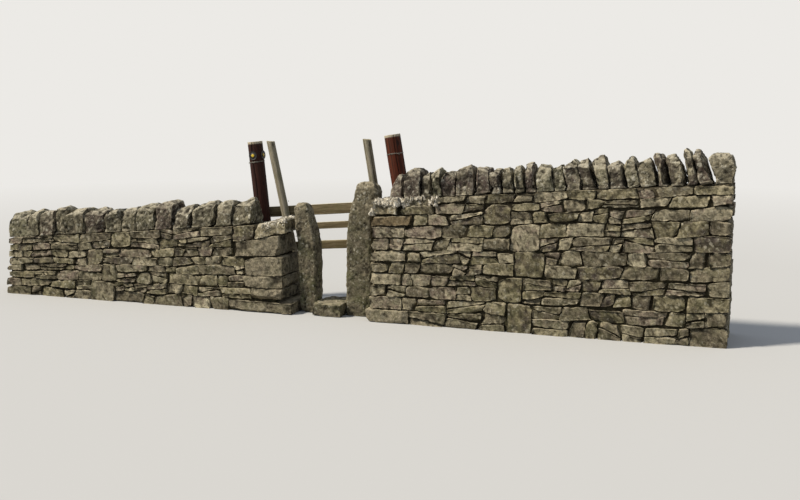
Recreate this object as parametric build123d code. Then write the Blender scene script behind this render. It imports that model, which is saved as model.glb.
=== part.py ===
from build123d import *
import math
import os
import random

# A squeeze stile in a dry stone field wall. Two upright stone stoops stand in a break in the wall,
# the wall ends either side are built square, rough cope stones stand on edge along the top,
# and a timber post-and-rail barrier stands close behind.
# Each side of the wall is one plain battered mass; its small face stones belong to the look.
# Millimetres. The origin is on the underside of the threshold, midway between the stoops.
# X runs along the wall uphill, Y runs through the wall to the timber side, Z is up.

# Seats and joints
bed_joint = 0.3

# Levels above the flat base that everything stands on
passage_level = 130.0

# The gap between the stoops
gap_at_foot = 314.0
threshold_depth = 460.0

# Left stoop, leaning away from the gap above its waist. A step is how far its gap side stands
# back from the foot of the gap.
left_stoop_height = 1100.0
left_stoop_waist_height = 700.0
left_stoop_shoulder_height = 840.0
left_stoop_foot_width = 190.0
left_stoop_waist_width = 208.0
left_stoop_shoulder_width = 200.0
left_stoop_head_width = 168.0
left_stoop_waist_step = 2.0
left_stoop_shoulder_step = 34.0
left_stoop_head_step = 84.0
left_stoop_crown_height = 85.0
left_stoop_depth = 205.0
left_stoop_head_depth = 175.0

# Right stoop, taller and broader, its head swelling out over the wall end
right_stoop_height = 1330.0
right_stoop_waist_height = 765.0
right_stoop_shoulder_height = 1000.0
right_stoop_foot_width = 281.0
right_stoop_waist_width = 276.0
right_stoop_shoulder_width = 253.0
right_stoop_head_width = 260.0
right_stoop_waist_step = 4.0
right_stoop_shoulder_step = 30.0
right_stoop_head_step = 80.0
right_stoop_crown_height = 150.0
right_stoop_depth = 225.0
right_stoop_head_depth = 185.0

# Shared stoop form: the crown turns over from upright by this angle, down to a flat of this share
stoop_corner_radius = 32.0
stoop_corner_share = 0.36
stoop_crown_steps = 5
stoop_crown_turn_deg = 80.0
stoop_crown_flat_share = 0.35
stoop_forward = 20.0

# Edges of the big squared stones, and of the cap stones, are worn off by this much
arris_wear = 11.0
cap_wear = 26.0

# The wall, narrower at the top than at the foot by one in the batter on each face
wall_top_width = 400.0
wall_batter = 9.0
left_slot = 118.0
left_wall_top = 900.0
left_wall_run = 3370.0
left_top_fall = 0.087
right_slot = 20.0
right_wall_top = 1168.0
right_wall_run = 3340.0
right_top_rise = 0.074

# Square-built stones of the left wall end, from the foot up: height, and length into the wall.
# The last one's top, and the cap on it, fall away from the gap.
left_quoin_sizes = [(130.0, 600.0), (118.0, 350.0), (127.0, 437.0), (195.0, 434.0), (222.0, 584.0)]
left_top_quoin_set_back = 46.0
left_head_fall = 0.198
left_cap_length = 366.0
left_cap_height = 160.0
left_cap_overhang = 14.0
left_cap_end_overhang = 21.0
left_cope_start = 392.0

# Stones of the right wall end. The cap's end leans to clear the stoop's swelling head.
right_foot_length = 420.0
right_cap_length = 300.0
right_cap_height = 160.0
right_cap_overhang = 12.0
right_cap_clearance = 8.0
right_brown_stone_length = 422.0
right_brown_stone_height = 100.0
right_cope_start = 172.0

# Cope stones on edge along the top: least and most width, least height at each end of the row,
# and how much taller one may be
left_cope_widths = (145.0, 255.0)
right_cope_widths = (92.0, 180.0)
cope_height_at_stile = 208.0
cope_height_at_end = 252.0
cope_height_spread = 72.0
cope_depth = 372.0
cope_depth_shares = (0.92, 1.06)
cope_gap = 7.0
cope_shoulder = 46.0
cope_top_inset_share = 0.24
cope_low_corner_share = 0.95
cope_side_taper = 0.13
cope_waist_share = 0.5
cope_arch_facets = 8
left_cope_lean_at_stile = 3.0
left_cope_lean_at_end = -2.0
right_cope_lean_at_stile = -2.0
right_cope_lean_at_end = -19.0
cope_lean_scatter = 4.0
cope_groups = 3
cope_seed = 11

# Timber barrier behind the wall. Every post and pole stands against the front of the rails, which
# rise to the right and have their centre heights at the stile.
rail_front = 533.0
rail_thickness = 38.0
rail_fall_deg = 4.8
rail_end_cover = 62.0
top_rail_depth = 112.0
top_rail_centre = 1003.0
middle_rail_depth = 73.0
middle_rail_centre = 831.0
low_rail_depth = 92.0
low_rail_centre = 625.0

# Round brown posts and thinner weathered poles, all leaning downhill
post_diameter = 160.0
pole_diameter = 86.0
post_top_chamfer = 7.0
pole_top_slope_deg = 14.0
left_post_x = -930.0
left_post_lean = 5.8
left_post_top = 1675.0
right_post_x = 742.0
right_post_lean = 9.6
right_post_top = 1768.0
left_pole_x = -573.0
left_pole_lean = 12.2
left_pole_top = 1681.0
right_pole_x = 432.0
right_pole_lean = 9.2
right_pole_top = 1717.0

# Round way marks nailed to the left post, and the wire tied round both posts
disc_diameter = 92.0
disc_thickness = 4.0
dot_diameter = 34.0
dot_thickness = 1.2
disc_below_top = 146.0
wire_diameter = 4.0
wire_hoop_facets = 24
left_wire_below_top = 215.0
right_wire_below_top = 196.0

# Worked out from the sizes above
left_head_x = -gap_at_foot / 2 - left_stoop_foot_width - left_slot
left_end_x = left_head_x - left_wall_run
left_cap_outer = left_head_x + left_cap_end_overhang
left_cap_inner = left_cap_outer - left_cap_length
left_cap_level = sum(height for height, length in left_quoin_sizes)
right_head_x = gap_at_foot / 2 + right_stoop_foot_width + right_slot
right_end_x = right_head_x + right_wall_run
right_cap_low = right_wall_top - right_cap_height
right_cap_inner = right_head_x + right_cap_length


def left_top(x):
    """Height of the left wall's top bed at x."""
    return left_wall_top + (x - left_head_x) * left_top_fall


def right_top(x):
    """Height of the right wall's top bed at x."""
    return right_wall_top + (x - right_head_x) * right_top_rise


def left_bed(x, level):
    """Height at x of a bed of the left wall. The higher a bed is, the more it slopes."""
    return level * left_top(x) / left_wall_top


def right_bed(x, level):
    """Height at x of a bed of the right wall, sloping in the same way."""
    return level * right_top(x) / right_wall_top


def section_corners(x, low, high, top_width, datum):
    """The corners of a battered cross-section of wall at x, from low to high, top_width wide at datum."""
    half_high = top_width / 2 + (datum - high) / wall_batter
    half_low = top_width / 2 + (datum - low) / wall_batter
    return [(x, -half_low, low), (x, half_low, low), (x, half_high, high), (x, -half_high, high)]


def section(x, low, high, top_width, datum):
    """The same cross-section as a face."""
    return make_face(Polyline(section_corners(x, low, high, top_width, datum), close=True))


def flat_sided(first, last):
    """A solid between two end faces whose corners match, with a flat side along each pair of edges."""
    rings = [[Vector(corner) for corner in end] for end in (first, last)]
    count = len(first)
    faces = [make_face(Polyline(ring, close=True)).face() for ring in rings]
    for here in range(count):
        there = (here + 1) % count
        side = [rings[0][here], rings[0][there], rings[1][there], rings[1][here]]
        faces.append(make_face(Polyline(side, close=True)).face())
    return Solid(Shell(faces))


def wall_run(x_from, x_to, top):
    """The whole battered mass of one side of the wall, its top on the sloping bed."""
    first, last = sorted((x_from, x_to))
    return flat_sided(
        section_corners(first, 0.0, top(first), wall_top_width, top(first)),
        section_corners(last, 0.0, top(last), wall_top_width, top(last)),
    )


def through_wall(corners):
    """A block through the whole thickness of the wall from its (x, z) corners, to cut a stone out."""
    face = Plane.XZ * make_face(Polyline(corners, close=True))
    return extrude(face, amount=wall_top_width + right_wall_top, both=True)


def between_beds(x_from, x_to, low, high, joint=0.0):
    """A block through the wall between two bed lines, less a joint under the higher one."""
    return through_wall([
        (x_from, low(x_from)),
        (x_to, low(x_to)),
        (x_to, high(x_to) - joint),
        (x_from, high(x_from) - joint),
    ])


def on_left_slope(x, level):
    """The height at x of a bed that meets the left wall end at a level and falls away from the gap."""
    return level + (x - left_head_x) * left_head_fall


def cap_block(x_from, x_to, low, high, overhang, datum):
    """A cap through the wall and a little over both faces, between a low and a high bed line."""
    width = wall_top_width + 2 * overhang
    return flat_sided(*[section_corners(x, low(x), high(x), width, datum) for x in (x_from, x_to)])


def worn_end(stone, axis, wear):
    """The stone with the edges of its outermost face along an axis worn off."""
    return chamfer(stone.faces().sort_by(axis)[-1].edges(), wear)


def stoop(side, levels, height):
    """An upright stone through its levels, each a height, a step, a width and a depth, then a crown."""
    inner = gap_at_foot / 2
    rings = [(level, inner + step, width, depth) for level, step, width, depth in levels]
    crown_foot, near, head, head_depth = rings[-1]
    turn = math.radians(stoop_crown_turn_deg)
    for step in range(1, stoop_crown_steps + 1):
        angle = turn * step / stoop_crown_steps
        share = stoop_crown_flat_share + (1 - stoop_crown_flat_share) * math.cos(angle)
        level = crown_foot + (height - crown_foot) * math.sin(angle) / math.sin(turn)
        rings.append((level, near + head * (1 - share) / 2, head * share, head_depth * share))
    faces = []
    for level, near, width, depth in rings:
        radius = min(stoop_corner_radius, stoop_corner_share * min(width, depth))
        place = Pos(side * (near + width / 2), -stoop_forward, level)
        faces.append(place * RectangleRounded(width, depth, radius))
    return loft(faces, ruled=True)


def left_stoop_levels():
    """The levels of the left stoop, plumb below the path and swelling at the waist."""
    return [
        (0.0, 0.0, left_stoop_foot_width, left_stoop_depth),
        (passage_level, 0.0, left_stoop_foot_width, left_stoop_depth),
        (left_stoop_waist_height, left_stoop_waist_step, left_stoop_waist_width, left_stoop_depth),
        (left_stoop_shoulder_height, left_stoop_shoulder_step, left_stoop_shoulder_width, left_stoop_depth),
        (left_stoop_height - left_stoop_crown_height, left_stoop_head_step, left_stoop_head_width,
         left_stoop_head_depth),
    ]


def right_stoop_levels():
    """The levels of the right stoop, narrowest at the shoulder."""
    return [
        (0.0, 0.0, right_stoop_foot_width, right_stoop_depth),
        (passage_level, 0.0, right_stoop_foot_width, right_stoop_depth),
        (right_stoop_waist_height, right_stoop_waist_step, right_stoop_waist_width, right_stoop_depth),
        (right_stoop_shoulder_height, right_stoop_shoulder_step, right_stoop_shoulder_width,
         right_stoop_depth),
        (right_stoop_height - right_stoop_crown_height, right_stoop_head_step, right_stoop_head_width,
         right_stoop_head_depth),
    ]


def right_stoop_side(height):
    """How far along the wall the right stoop's outer side reaches at a height, up to its crown."""
    levels = right_stoop_levels()
    for (low, low_step, low_width, _), (high, high_step, high_width, _) in zip(levels, levels[1:]):
        share = min((height - low) / (high - low), 1.0)
        reach = low_step + low_width + (high_step + high_width - low_step - low_width) * share
        if height <= high:
            break
    return gap_at_foot / 2 + reach


def cope(x_low, x_high, lean_low, lean_high, height, depth, top):
    """One cope stone on edge between two leaning joints, narrower and rounded towards its top."""
    slope_low = math.tan(math.radians(lean_low))
    slope_high = math.tan(math.radians(lean_high))
    shoulder = height - cope_shoulder
    inset = (x_high - x_low) * cope_top_inset_share
    foot_low = top(x_low) + bed_joint
    foot_high = top(x_high) + bed_joint
    front = [
        (x_low, foot_low),
        (x_high, foot_high),
        (x_high + slope_high * shoulder, foot_high + shoulder),
        (x_high + slope_high * height - inset, foot_high + height),
        (x_low + slope_low * height + inset, foot_low + height * cope_low_corner_share),
        (x_low + slope_low * shoulder, foot_low + shoulder * cope_low_corner_share),
    ]
    face = Plane.XZ * make_face(Polyline(front, close=True))
    slab = extrude(face, amount=depth, both=True)
    half = depth / 2
    brow = half * (1 - cope_side_taper)
    below = min(foot_low, foot_high) - height
    waist = max(foot_low, foot_high) + height * cope_waist_share
    rise = height * (1 - cope_waist_share)
    plane = Plane(origin=((x_low + x_high) / 2, 0, 0), x_dir=(0, 1, 0), z_dir=(1, 0, 0))
    turns = [math.pi * step / cope_arch_facets for step in range(cope_arch_facets + 1)]
    arch = [(brow * math.cos(turn), waist + rise * math.sin(turn)) for turn in turns]
    outline = plane * make_face(Polyline([(-half, below), (half, below), *arch], close=True))
    return slab & extrude(outline, amount=x_high - x_low + height, both=True)


def cope_row(x_from, x_to, top, sizes, lean_from, lean_to, draw):
    """A row of cope stones that nearly touch, between two places on the wall top."""
    least, most = sizes
    span = abs(x_to - x_from)
    way = 1 if x_to > x_from else -1
    widths = []
    while sum(widths) < span - most:
        widths.append(draw.uniform(least, most))
    stretch = span / sum(widths)
    joints = [0.0]
    for width in widths:
        joints.append(joints[-1] + width * stretch)
    leans = []
    for joint in joints:
        ideal = lean_from + (lean_to - lean_from) * joint / span
        leans.append(ideal + draw.uniform(-cope_lean_scatter, cope_lean_scatter))
    leans[0] = min(leans[0], 0.0) if way > 0 else max(leans[0], 0.0)
    stones = []
    for index in range(len(widths)):
        places = sorted((x_from + way * joints[index], x_from + way * joints[index + 1]))
        tilts = leans[index : index + 2][::way]
        growth = (cope_height_at_end - cope_height_at_stile) * joints[index] / span
        height = cope_height_at_stile + growth + draw.uniform(0.0, cope_height_spread)
        depth = cope_depth * draw.uniform(*cope_depth_shares)
        near, far = places[0] + cope_gap / 2, places[1] - cope_gap / 2
        stones.append(cope(near, far, tilts[0], tilts[1], height, depth, top))
    return stones


def round_post(x, lean_deg, top, diameter, sloped_top):
    """A round timber leaning in the plane of the wall, its foot cut level. Gives it and its axis plane."""
    lean = math.radians(lean_deg)
    centre = (x, rail_front - bed_joint - diameter / 2, 0)
    along = (-math.sin(lean), 0, math.cos(lean))
    axis = Plane(origin=centre, x_dir=(math.cos(lean), 0, math.sin(lean)), z_dir=along)
    length = top / math.cos(lean)
    sunk = diameter
    shaft = Pos(0, 0, (length - sunk) / 2) * Cylinder(diameter / 2, length + sunk)
    if sloped_top:
        tip = Pos(0, 0, diameter) * Box(3 * diameter, 3 * diameter, 2 * diameter)
        shaft = shaft - Pos(0, 0, length) * Rot(0, pole_top_slope_deg, 0) * tip
    else:
        rim = shaft.edges().group_by(Axis.Z)[-1]
        shaft = chamfer(rim, post_top_chamfer)
    soil = Pos(x, centre[1], -2 * diameter) * Box(8 * diameter, 4 * diameter, 4 * diameter)
    return axis * shaft - soil, axis, length


def axis_x(x, lean_deg, level):
    """Where a leaning post's axis is along the wall at a height."""
    return x - level * math.tan(math.radians(lean_deg))


def rail(level, depth):
    """A sawn rail behind the posts, from one round post to the other, its centre's height at the stile."""
    start = axis_x(left_post_x, left_post_lean, level) - rail_end_cover
    end = axis_x(right_post_x, right_post_lean, level) + rail_end_cover
    middle = (start + end) / 2
    drop = middle * math.tan(math.radians(rail_fall_deg))
    place = Pos(middle, rail_front + rail_thickness / 2, level + drop)
    return place * Rot(0, -rail_fall_deg, 0) * Box(end - start, rail_thickness, depth)


def save(name, shape):
    """Writes one named piece."""
    solids = shape if isinstance(shape, list) else [shape]
    whole = Compound([solid for piece in solids for solid in piece.solids()])
    export_step(whole, f"parts/{name}.step")


def build_stoops():
    """The threshold underfoot and the two upright stones that make the gap."""
    threshold_width = gap_at_foot - 2 * bed_joint
    slab = Pos(0, -stoop_forward, passage_level / 2) * Box(threshold_width, threshold_depth, passage_level)
    tread = slab.faces().sort_by(Axis.Z)[-1]
    save("threshold_stone", chamfer(tread.edges().filter_by(Axis.X), arris_wear))
    save("left_stoop", stoop(-1, left_stoop_levels(), left_stoop_height))
    save("right_stoop", stoop(1, right_stoop_levels(), right_stoop_height))


def build_left_wall():
    """The left wall with the squared stones of its end and the cap on them."""
    mass = wall_run(left_head_x, left_end_x, left_top)
    rest = mass
    slot_side = left_head_x + left_slot
    beds = [lambda x: 0.0]
    level = 0.0
    for number, (height, length) in enumerate(left_quoin_sizes, 1):
        level += height
        is_foot = number == 1
        is_top = number == len(left_quoin_sizes)
        slope = on_left_slope if is_top else left_bed
        beds.append(lambda x, slope=slope, level=level: slope(x, level))
        inner = left_head_x - length
        outer = left_head_x - left_top_quoin_set_back if is_top else left_head_x
        stone = mass & between_beds(inner + bed_joint, outer, beds[-2], beds[-1], bed_joint)
        if is_foot:
            end = section(left_head_x, 0.0, level - bed_joint, wall_top_width, left_wall_top)
            stone = stone + extrude(end, amount=left_slot - bed_joint)
        else:
            stone = worn_end(stone, Axis.X, arris_wear)
        save(f"left_quoin_{number}", stone)
        rest = rest - between_beds(inner, slot_side, beds[-2], beds[-1])
    rest = rest - between_beds(left_cap_inner, slot_side, beds[-1], lambda x: 2 * left_wall_top)
    cap = cap_block(
        left_cap_inner + bed_joint,
        left_cap_outer,
        beds[-1],
        lambda x: on_left_slope(x, left_cap_level + left_cap_height),
        left_cap_overhang,
        left_wall_top,
    )
    save("left_cap_stone", worn_end(cap, Axis.Z, cap_wear))
    save("left_wall", rest)


def build_right_wall():
    """The right wall with the foot, brown and cap stones of its end."""
    mass = wall_run(right_head_x, right_end_x, right_top)
    slot_side = right_head_x - right_slot
    foot_to = right_head_x + right_foot_length
    foot_from = slot_side + bed_joint
    foot_face = section(foot_from, 0, passage_level - bed_joint, wall_top_width, right_wall_top)
    save("right_foot_stone", extrude(foot_face, amount=foot_to - bed_joint - foot_from))

    def ground(x):
        return 0.0

    def foot_bed(x):
        return passage_level

    def brown_bed(x):
        return right_bed(x, right_cap_low - right_brown_stone_height)

    def cap_bed(x):
        return right_bed(x, right_cap_low)

    def open_air(x):
        return 2 * right_wall_top

    rest = mass - between_beds(slot_side, foot_to, ground, foot_bed)
    rest = rest - between_beds(slot_side, right_cap_inner, cap_bed, open_air)
    cap = cap_block(
        slot_side,
        right_cap_inner - bed_joint,
        lambda x: cap_bed(x) + bed_joint,
        right_top,
        right_cap_overhang,
        right_wall_top,
    )
    end_low = right_stoop_side(right_cap_low) + right_cap_clearance
    end_high = right_stoop_side(right_wall_top) + right_cap_clearance
    lean = (end_high - end_low) / right_cap_height
    cap = cap - through_wall([
        (slot_side - right_cap_length, 0.0),
        (end_low - right_cap_low * lean, 0.0),
        (end_high + right_wall_top * lean, 2 * right_wall_top),
        (slot_side - right_cap_length, 2 * right_wall_top),
    ])
    save("right_cap_stone", worn_end(cap, Axis.Z, cap_wear))
    brown_to = right_head_x + right_brown_stone_length
    brown = mass & between_beds(right_head_x, brown_to - bed_joint, brown_bed, cap_bed)
    save("right_brown_stone", brown)
    save("right_wall", rest - between_beds(slot_side, brown_to, brown_bed, cap_bed))


def build_copes():
    """Both cope rows, each split into groups along the wall."""
    draw = random.Random(cope_seed)
    rows = {
        "left": cope_row(left_head_x - left_cope_start, left_end_x, left_top, left_cope_widths,
                         left_cope_lean_at_stile, left_cope_lean_at_end, draw),
        "right": cope_row(right_head_x + right_cope_start, right_end_x, right_top, right_cope_widths,
                          right_cope_lean_at_stile, right_cope_lean_at_end, draw),
    }
    for side, stones in rows.items():
        for group in range(cope_groups):
            first = group * len(stones) // cope_groups
            last = (group + 1) * len(stones) // cope_groups
            save(f"{side}_copes_{group + 1}", stones[first:last])


def build_timber():
    """The posts, poles and rails, with the way marks and wire on the round posts."""
    post, post_axis, post_length = round_post(
        left_post_x, left_post_lean, left_post_top, post_diameter, False
    )
    save("left_post", post)
    other, other_axis, other_length = round_post(
        right_post_x, right_post_lean, right_post_top, post_diameter, False
    )
    save("right_post", other)
    save("left_pole", round_post(left_pole_x, left_pole_lean, left_pole_top, pole_diameter, True)[0])
    save("right_pole", round_post(right_pole_x, right_pole_lean, right_pole_top, pole_diameter, True)[0])
    save("top_rail", rail(top_rail_centre, top_rail_depth))
    save("middle_rail", rail(middle_rail_centre, middle_rail_depth))
    save("low_rail", rail(low_rail_centre, low_rail_depth))
    disc_out = post_diameter / 2 + bed_joint + disc_thickness / 2
    dot_out = disc_out + disc_thickness / 2 + dot_thickness / 2
    level = post_length - disc_below_top
    disc = Cylinder(disc_diameter / 2, disc_thickness)
    dot = Cylinder(dot_diameter / 2, dot_thickness)
    for name, along_x, along_y, turn in (("front", 0, -1, Rot(90, 0, 0)), ("side", 1, 0, Rot(0, 90, 0))):
        disc_place = post_axis * Pos(along_x * disc_out, along_y * disc_out, level)
        dot_place = post_axis * Pos(along_x * dot_out, along_y * dot_out, level)
        save(f"{name}_way_mark", disc_place * turn * disc)
        save(f"{name}_way_mark_dot", dot_place * turn * dot)
    flat_to_corner = math.cos(math.pi / wire_hoop_facets)
    inside = (post_diameter / 2 + bed_joint) / flat_to_corner
    outside = inside + wire_diameter / flat_to_corner
    band = RegularPolygon(outside, wire_hoop_facets) - RegularPolygon(inside, wire_hoop_facets)
    hoop = extrude(band, amount=wire_diameter)
    save("left_post_wire", post_axis * Pos(0, 0, post_length - left_wire_below_top) * hoop)
    save("right_post_wire", other_axis * Pos(0, 0, other_length - right_wire_below_top) * hoop)


os.makedirs("parts", exist_ok=True)
build_stoops()
build_left_wall()
build_right_wall()
build_copes()
build_timber()
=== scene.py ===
"""Dresses a dry stone squeeze stile: walling stone, copes, stoops and weathered timber.

Everything is in metres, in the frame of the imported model. X runs along the wall uphill,
Y runs through the wall from the path side to the timber side, and Z is up.
"""

import logging
import math
from collections.abc import Callable, Sequence
from dataclasses import dataclass, field, replace
from enum import Enum, IntEnum
from functools import lru_cache, partial

import bpy
import numpy as np
from mathutils import Euler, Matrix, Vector


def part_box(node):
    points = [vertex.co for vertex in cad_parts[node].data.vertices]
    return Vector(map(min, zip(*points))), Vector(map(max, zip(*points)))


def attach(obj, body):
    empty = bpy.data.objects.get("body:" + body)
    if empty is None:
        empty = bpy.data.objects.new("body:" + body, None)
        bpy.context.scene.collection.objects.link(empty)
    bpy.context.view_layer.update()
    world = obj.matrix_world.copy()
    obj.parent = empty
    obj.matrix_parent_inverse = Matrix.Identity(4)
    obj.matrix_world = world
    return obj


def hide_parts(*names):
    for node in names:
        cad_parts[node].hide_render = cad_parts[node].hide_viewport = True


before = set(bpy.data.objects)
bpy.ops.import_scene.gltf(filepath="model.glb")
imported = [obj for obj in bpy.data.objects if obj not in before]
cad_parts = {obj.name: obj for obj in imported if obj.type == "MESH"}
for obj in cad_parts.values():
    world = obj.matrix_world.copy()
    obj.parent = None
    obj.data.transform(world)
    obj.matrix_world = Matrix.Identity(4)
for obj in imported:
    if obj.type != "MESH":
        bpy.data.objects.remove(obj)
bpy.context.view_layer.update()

LOG = logging.getLogger("stile")
BODY = "root"
MM = 0.001

# Points that lie closer together than this are one point of a CAD node
WELD = 0.05 * MM
UP = np.array((0.0, 0.0, 1.0))
THROUGH_WALL = np.array((0.0, 1.0, 0.0))

Pair = tuple[float, float]
Triple = tuple[float, float, float]
Places = float | np.ndarray
Bed = Callable[[float], float]
Faces = list[list[int]]
Shape = tuple[np.ndarray, Faces]
Profile = Sequence[Pair]
Piece = bpy.types.Object
Socket = bpy.types.NodeSocket
# The call of add() for one node tree
Node = partial


class Slot(str, Enum):
    """The record's material slots."""

    STOOP = "stoop_stone"
    WALL = "wall_stone"
    QUOIN = "quoin_stone"
    CAP = "cap_stone"
    BROWN = "brown_stone"
    COPE = "cope_stone"
    POST = "post_timber"
    POLE = "pole_timber"
    RAIL = "rail_timber"
    DISC = "mark_dark"
    DOT = "mark_yellow"
    WIRE = "fence_wire"


class Face(IntEnum):
    """The two faces of the wall, by the sign of Y."""

    PATH = -1
    FIELD = 1


class Side(IntEnum):
    """The two sides of the gap, by the sign of X."""

    LEFT = -1
    RIGHT = 1


class End(IntEnum):
    """The two ends of a wall."""

    STILE = 0
    FAR = 1


# Colour and nodes


def linear(colour: str) -> tuple[float, float, float, float]:
    """Turns an sRGB hex value to a linear colour.

    Args:
        colour: Six hex digits after a hash sign.

    Returns:
        Red, green, blue and alpha, linear.
    """
    parts = [int(colour[place : place + 2], 16) / 255 for place in (1, 3, 5)]
    red, green, blue = (p / 12.92 if p <= 0.04045 else ((p + 0.055) / 1.055) ** 2.4 for p in parts)
    return red, green, blue, 1.0


def add(
    tree: bpy.types.NodeTree,
    kind: str,
    inputs: Sequence | dict = (),
    output: int | str = 0,
    **settings: object,
) -> Socket | None:
    """Adds one node with its settings and links.

    Args:
        tree: The node tree to add to.
        kind: The node's type name, without its "ShaderNode" prefix.
        inputs: Values, hex colours or sockets to link, in order or by name or place.
        output: Which output to give back.
        **settings: Its properties; "stops" holds the places and hex colours of a colour ramp.

    Returns:
        The output asked for, or None where the node has none.
    """
    made = tree.nodes.new("ShaderNode" + kind)
    for name, value in settings.items():
        if name != "stops":
            setattr(made, name, value)
            continue
        elements = made.color_ramp.elements
        for element, (_, colour) in zip(elements, (value[0], value[-1])):
            element.color = linear(colour)
        for place, colour in value[1:-1]:
            elements.new(place).color = linear(colour)
    for key, value in inputs.items() if isinstance(inputs, dict) else enumerate(inputs):
        socket = made.inputs[key]
        if isinstance(value, Socket):
            tree.links.new(value, socket)
        else:
            socket.default_value = linear(value) if isinstance(value, str) else value
    return made.outputs[output] if made.outputs else None


def started(name: str) -> tuple[bpy.types.Material, Node]:
    """Starts an empty material.

    Args:
        name: The material's name.

    Returns:
        The material, and the call that adds a node to it.
    """
    made = bpy.data.materials.new(name)
    made.use_nodes = True
    made.node_tree.nodes.clear()
    return made, partial(add, made.node_tree)


def coated(node: Node, colour: Socket | str, *coats: tuple[Socket, Socket | str]) -> Socket:
    """Lays coats of colour over each other, each by its own share.

    Args:
        node: The call that adds a node.
        colour: The colour under all of them.
        *coats: The share and the colour of each coat, from the lowest up.

    Returns:
        The colour that shows.
    """
    for share, over in coats:
        colour = node("Mix", {0: share, 6: colour, 7: over}, 2, data_type="RGBA")
    return colour


def surfaced(
    node: Node, colour: Socket, gloss: Socket, relief: Socket, depth_mm: float, **fixed: float
) -> None:
    """Joins the shader, the bump and the output.

    Args:
        node: The call that adds a node.
        colour: The base colour.
        gloss: The roughness.
        relief: The height that the bump follows.
        depth_mm: How deep the bump is.
        **fixed: Other values set on the shader, by socket name with _ for a space.
    """
    bump = node("Bump", {"Strength": 1.0, "Distance": depth_mm * MM, "Height": relief})
    inputs = {"Base Color": colour, "Roughness": gloss, "Normal": bump}
    inputs.update({key.replace("_", " "): value for key, value in fixed.items()})
    node("OutputMaterial", {"Surface": node("BsdfPrincipled", inputs)})


# Finishes


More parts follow.
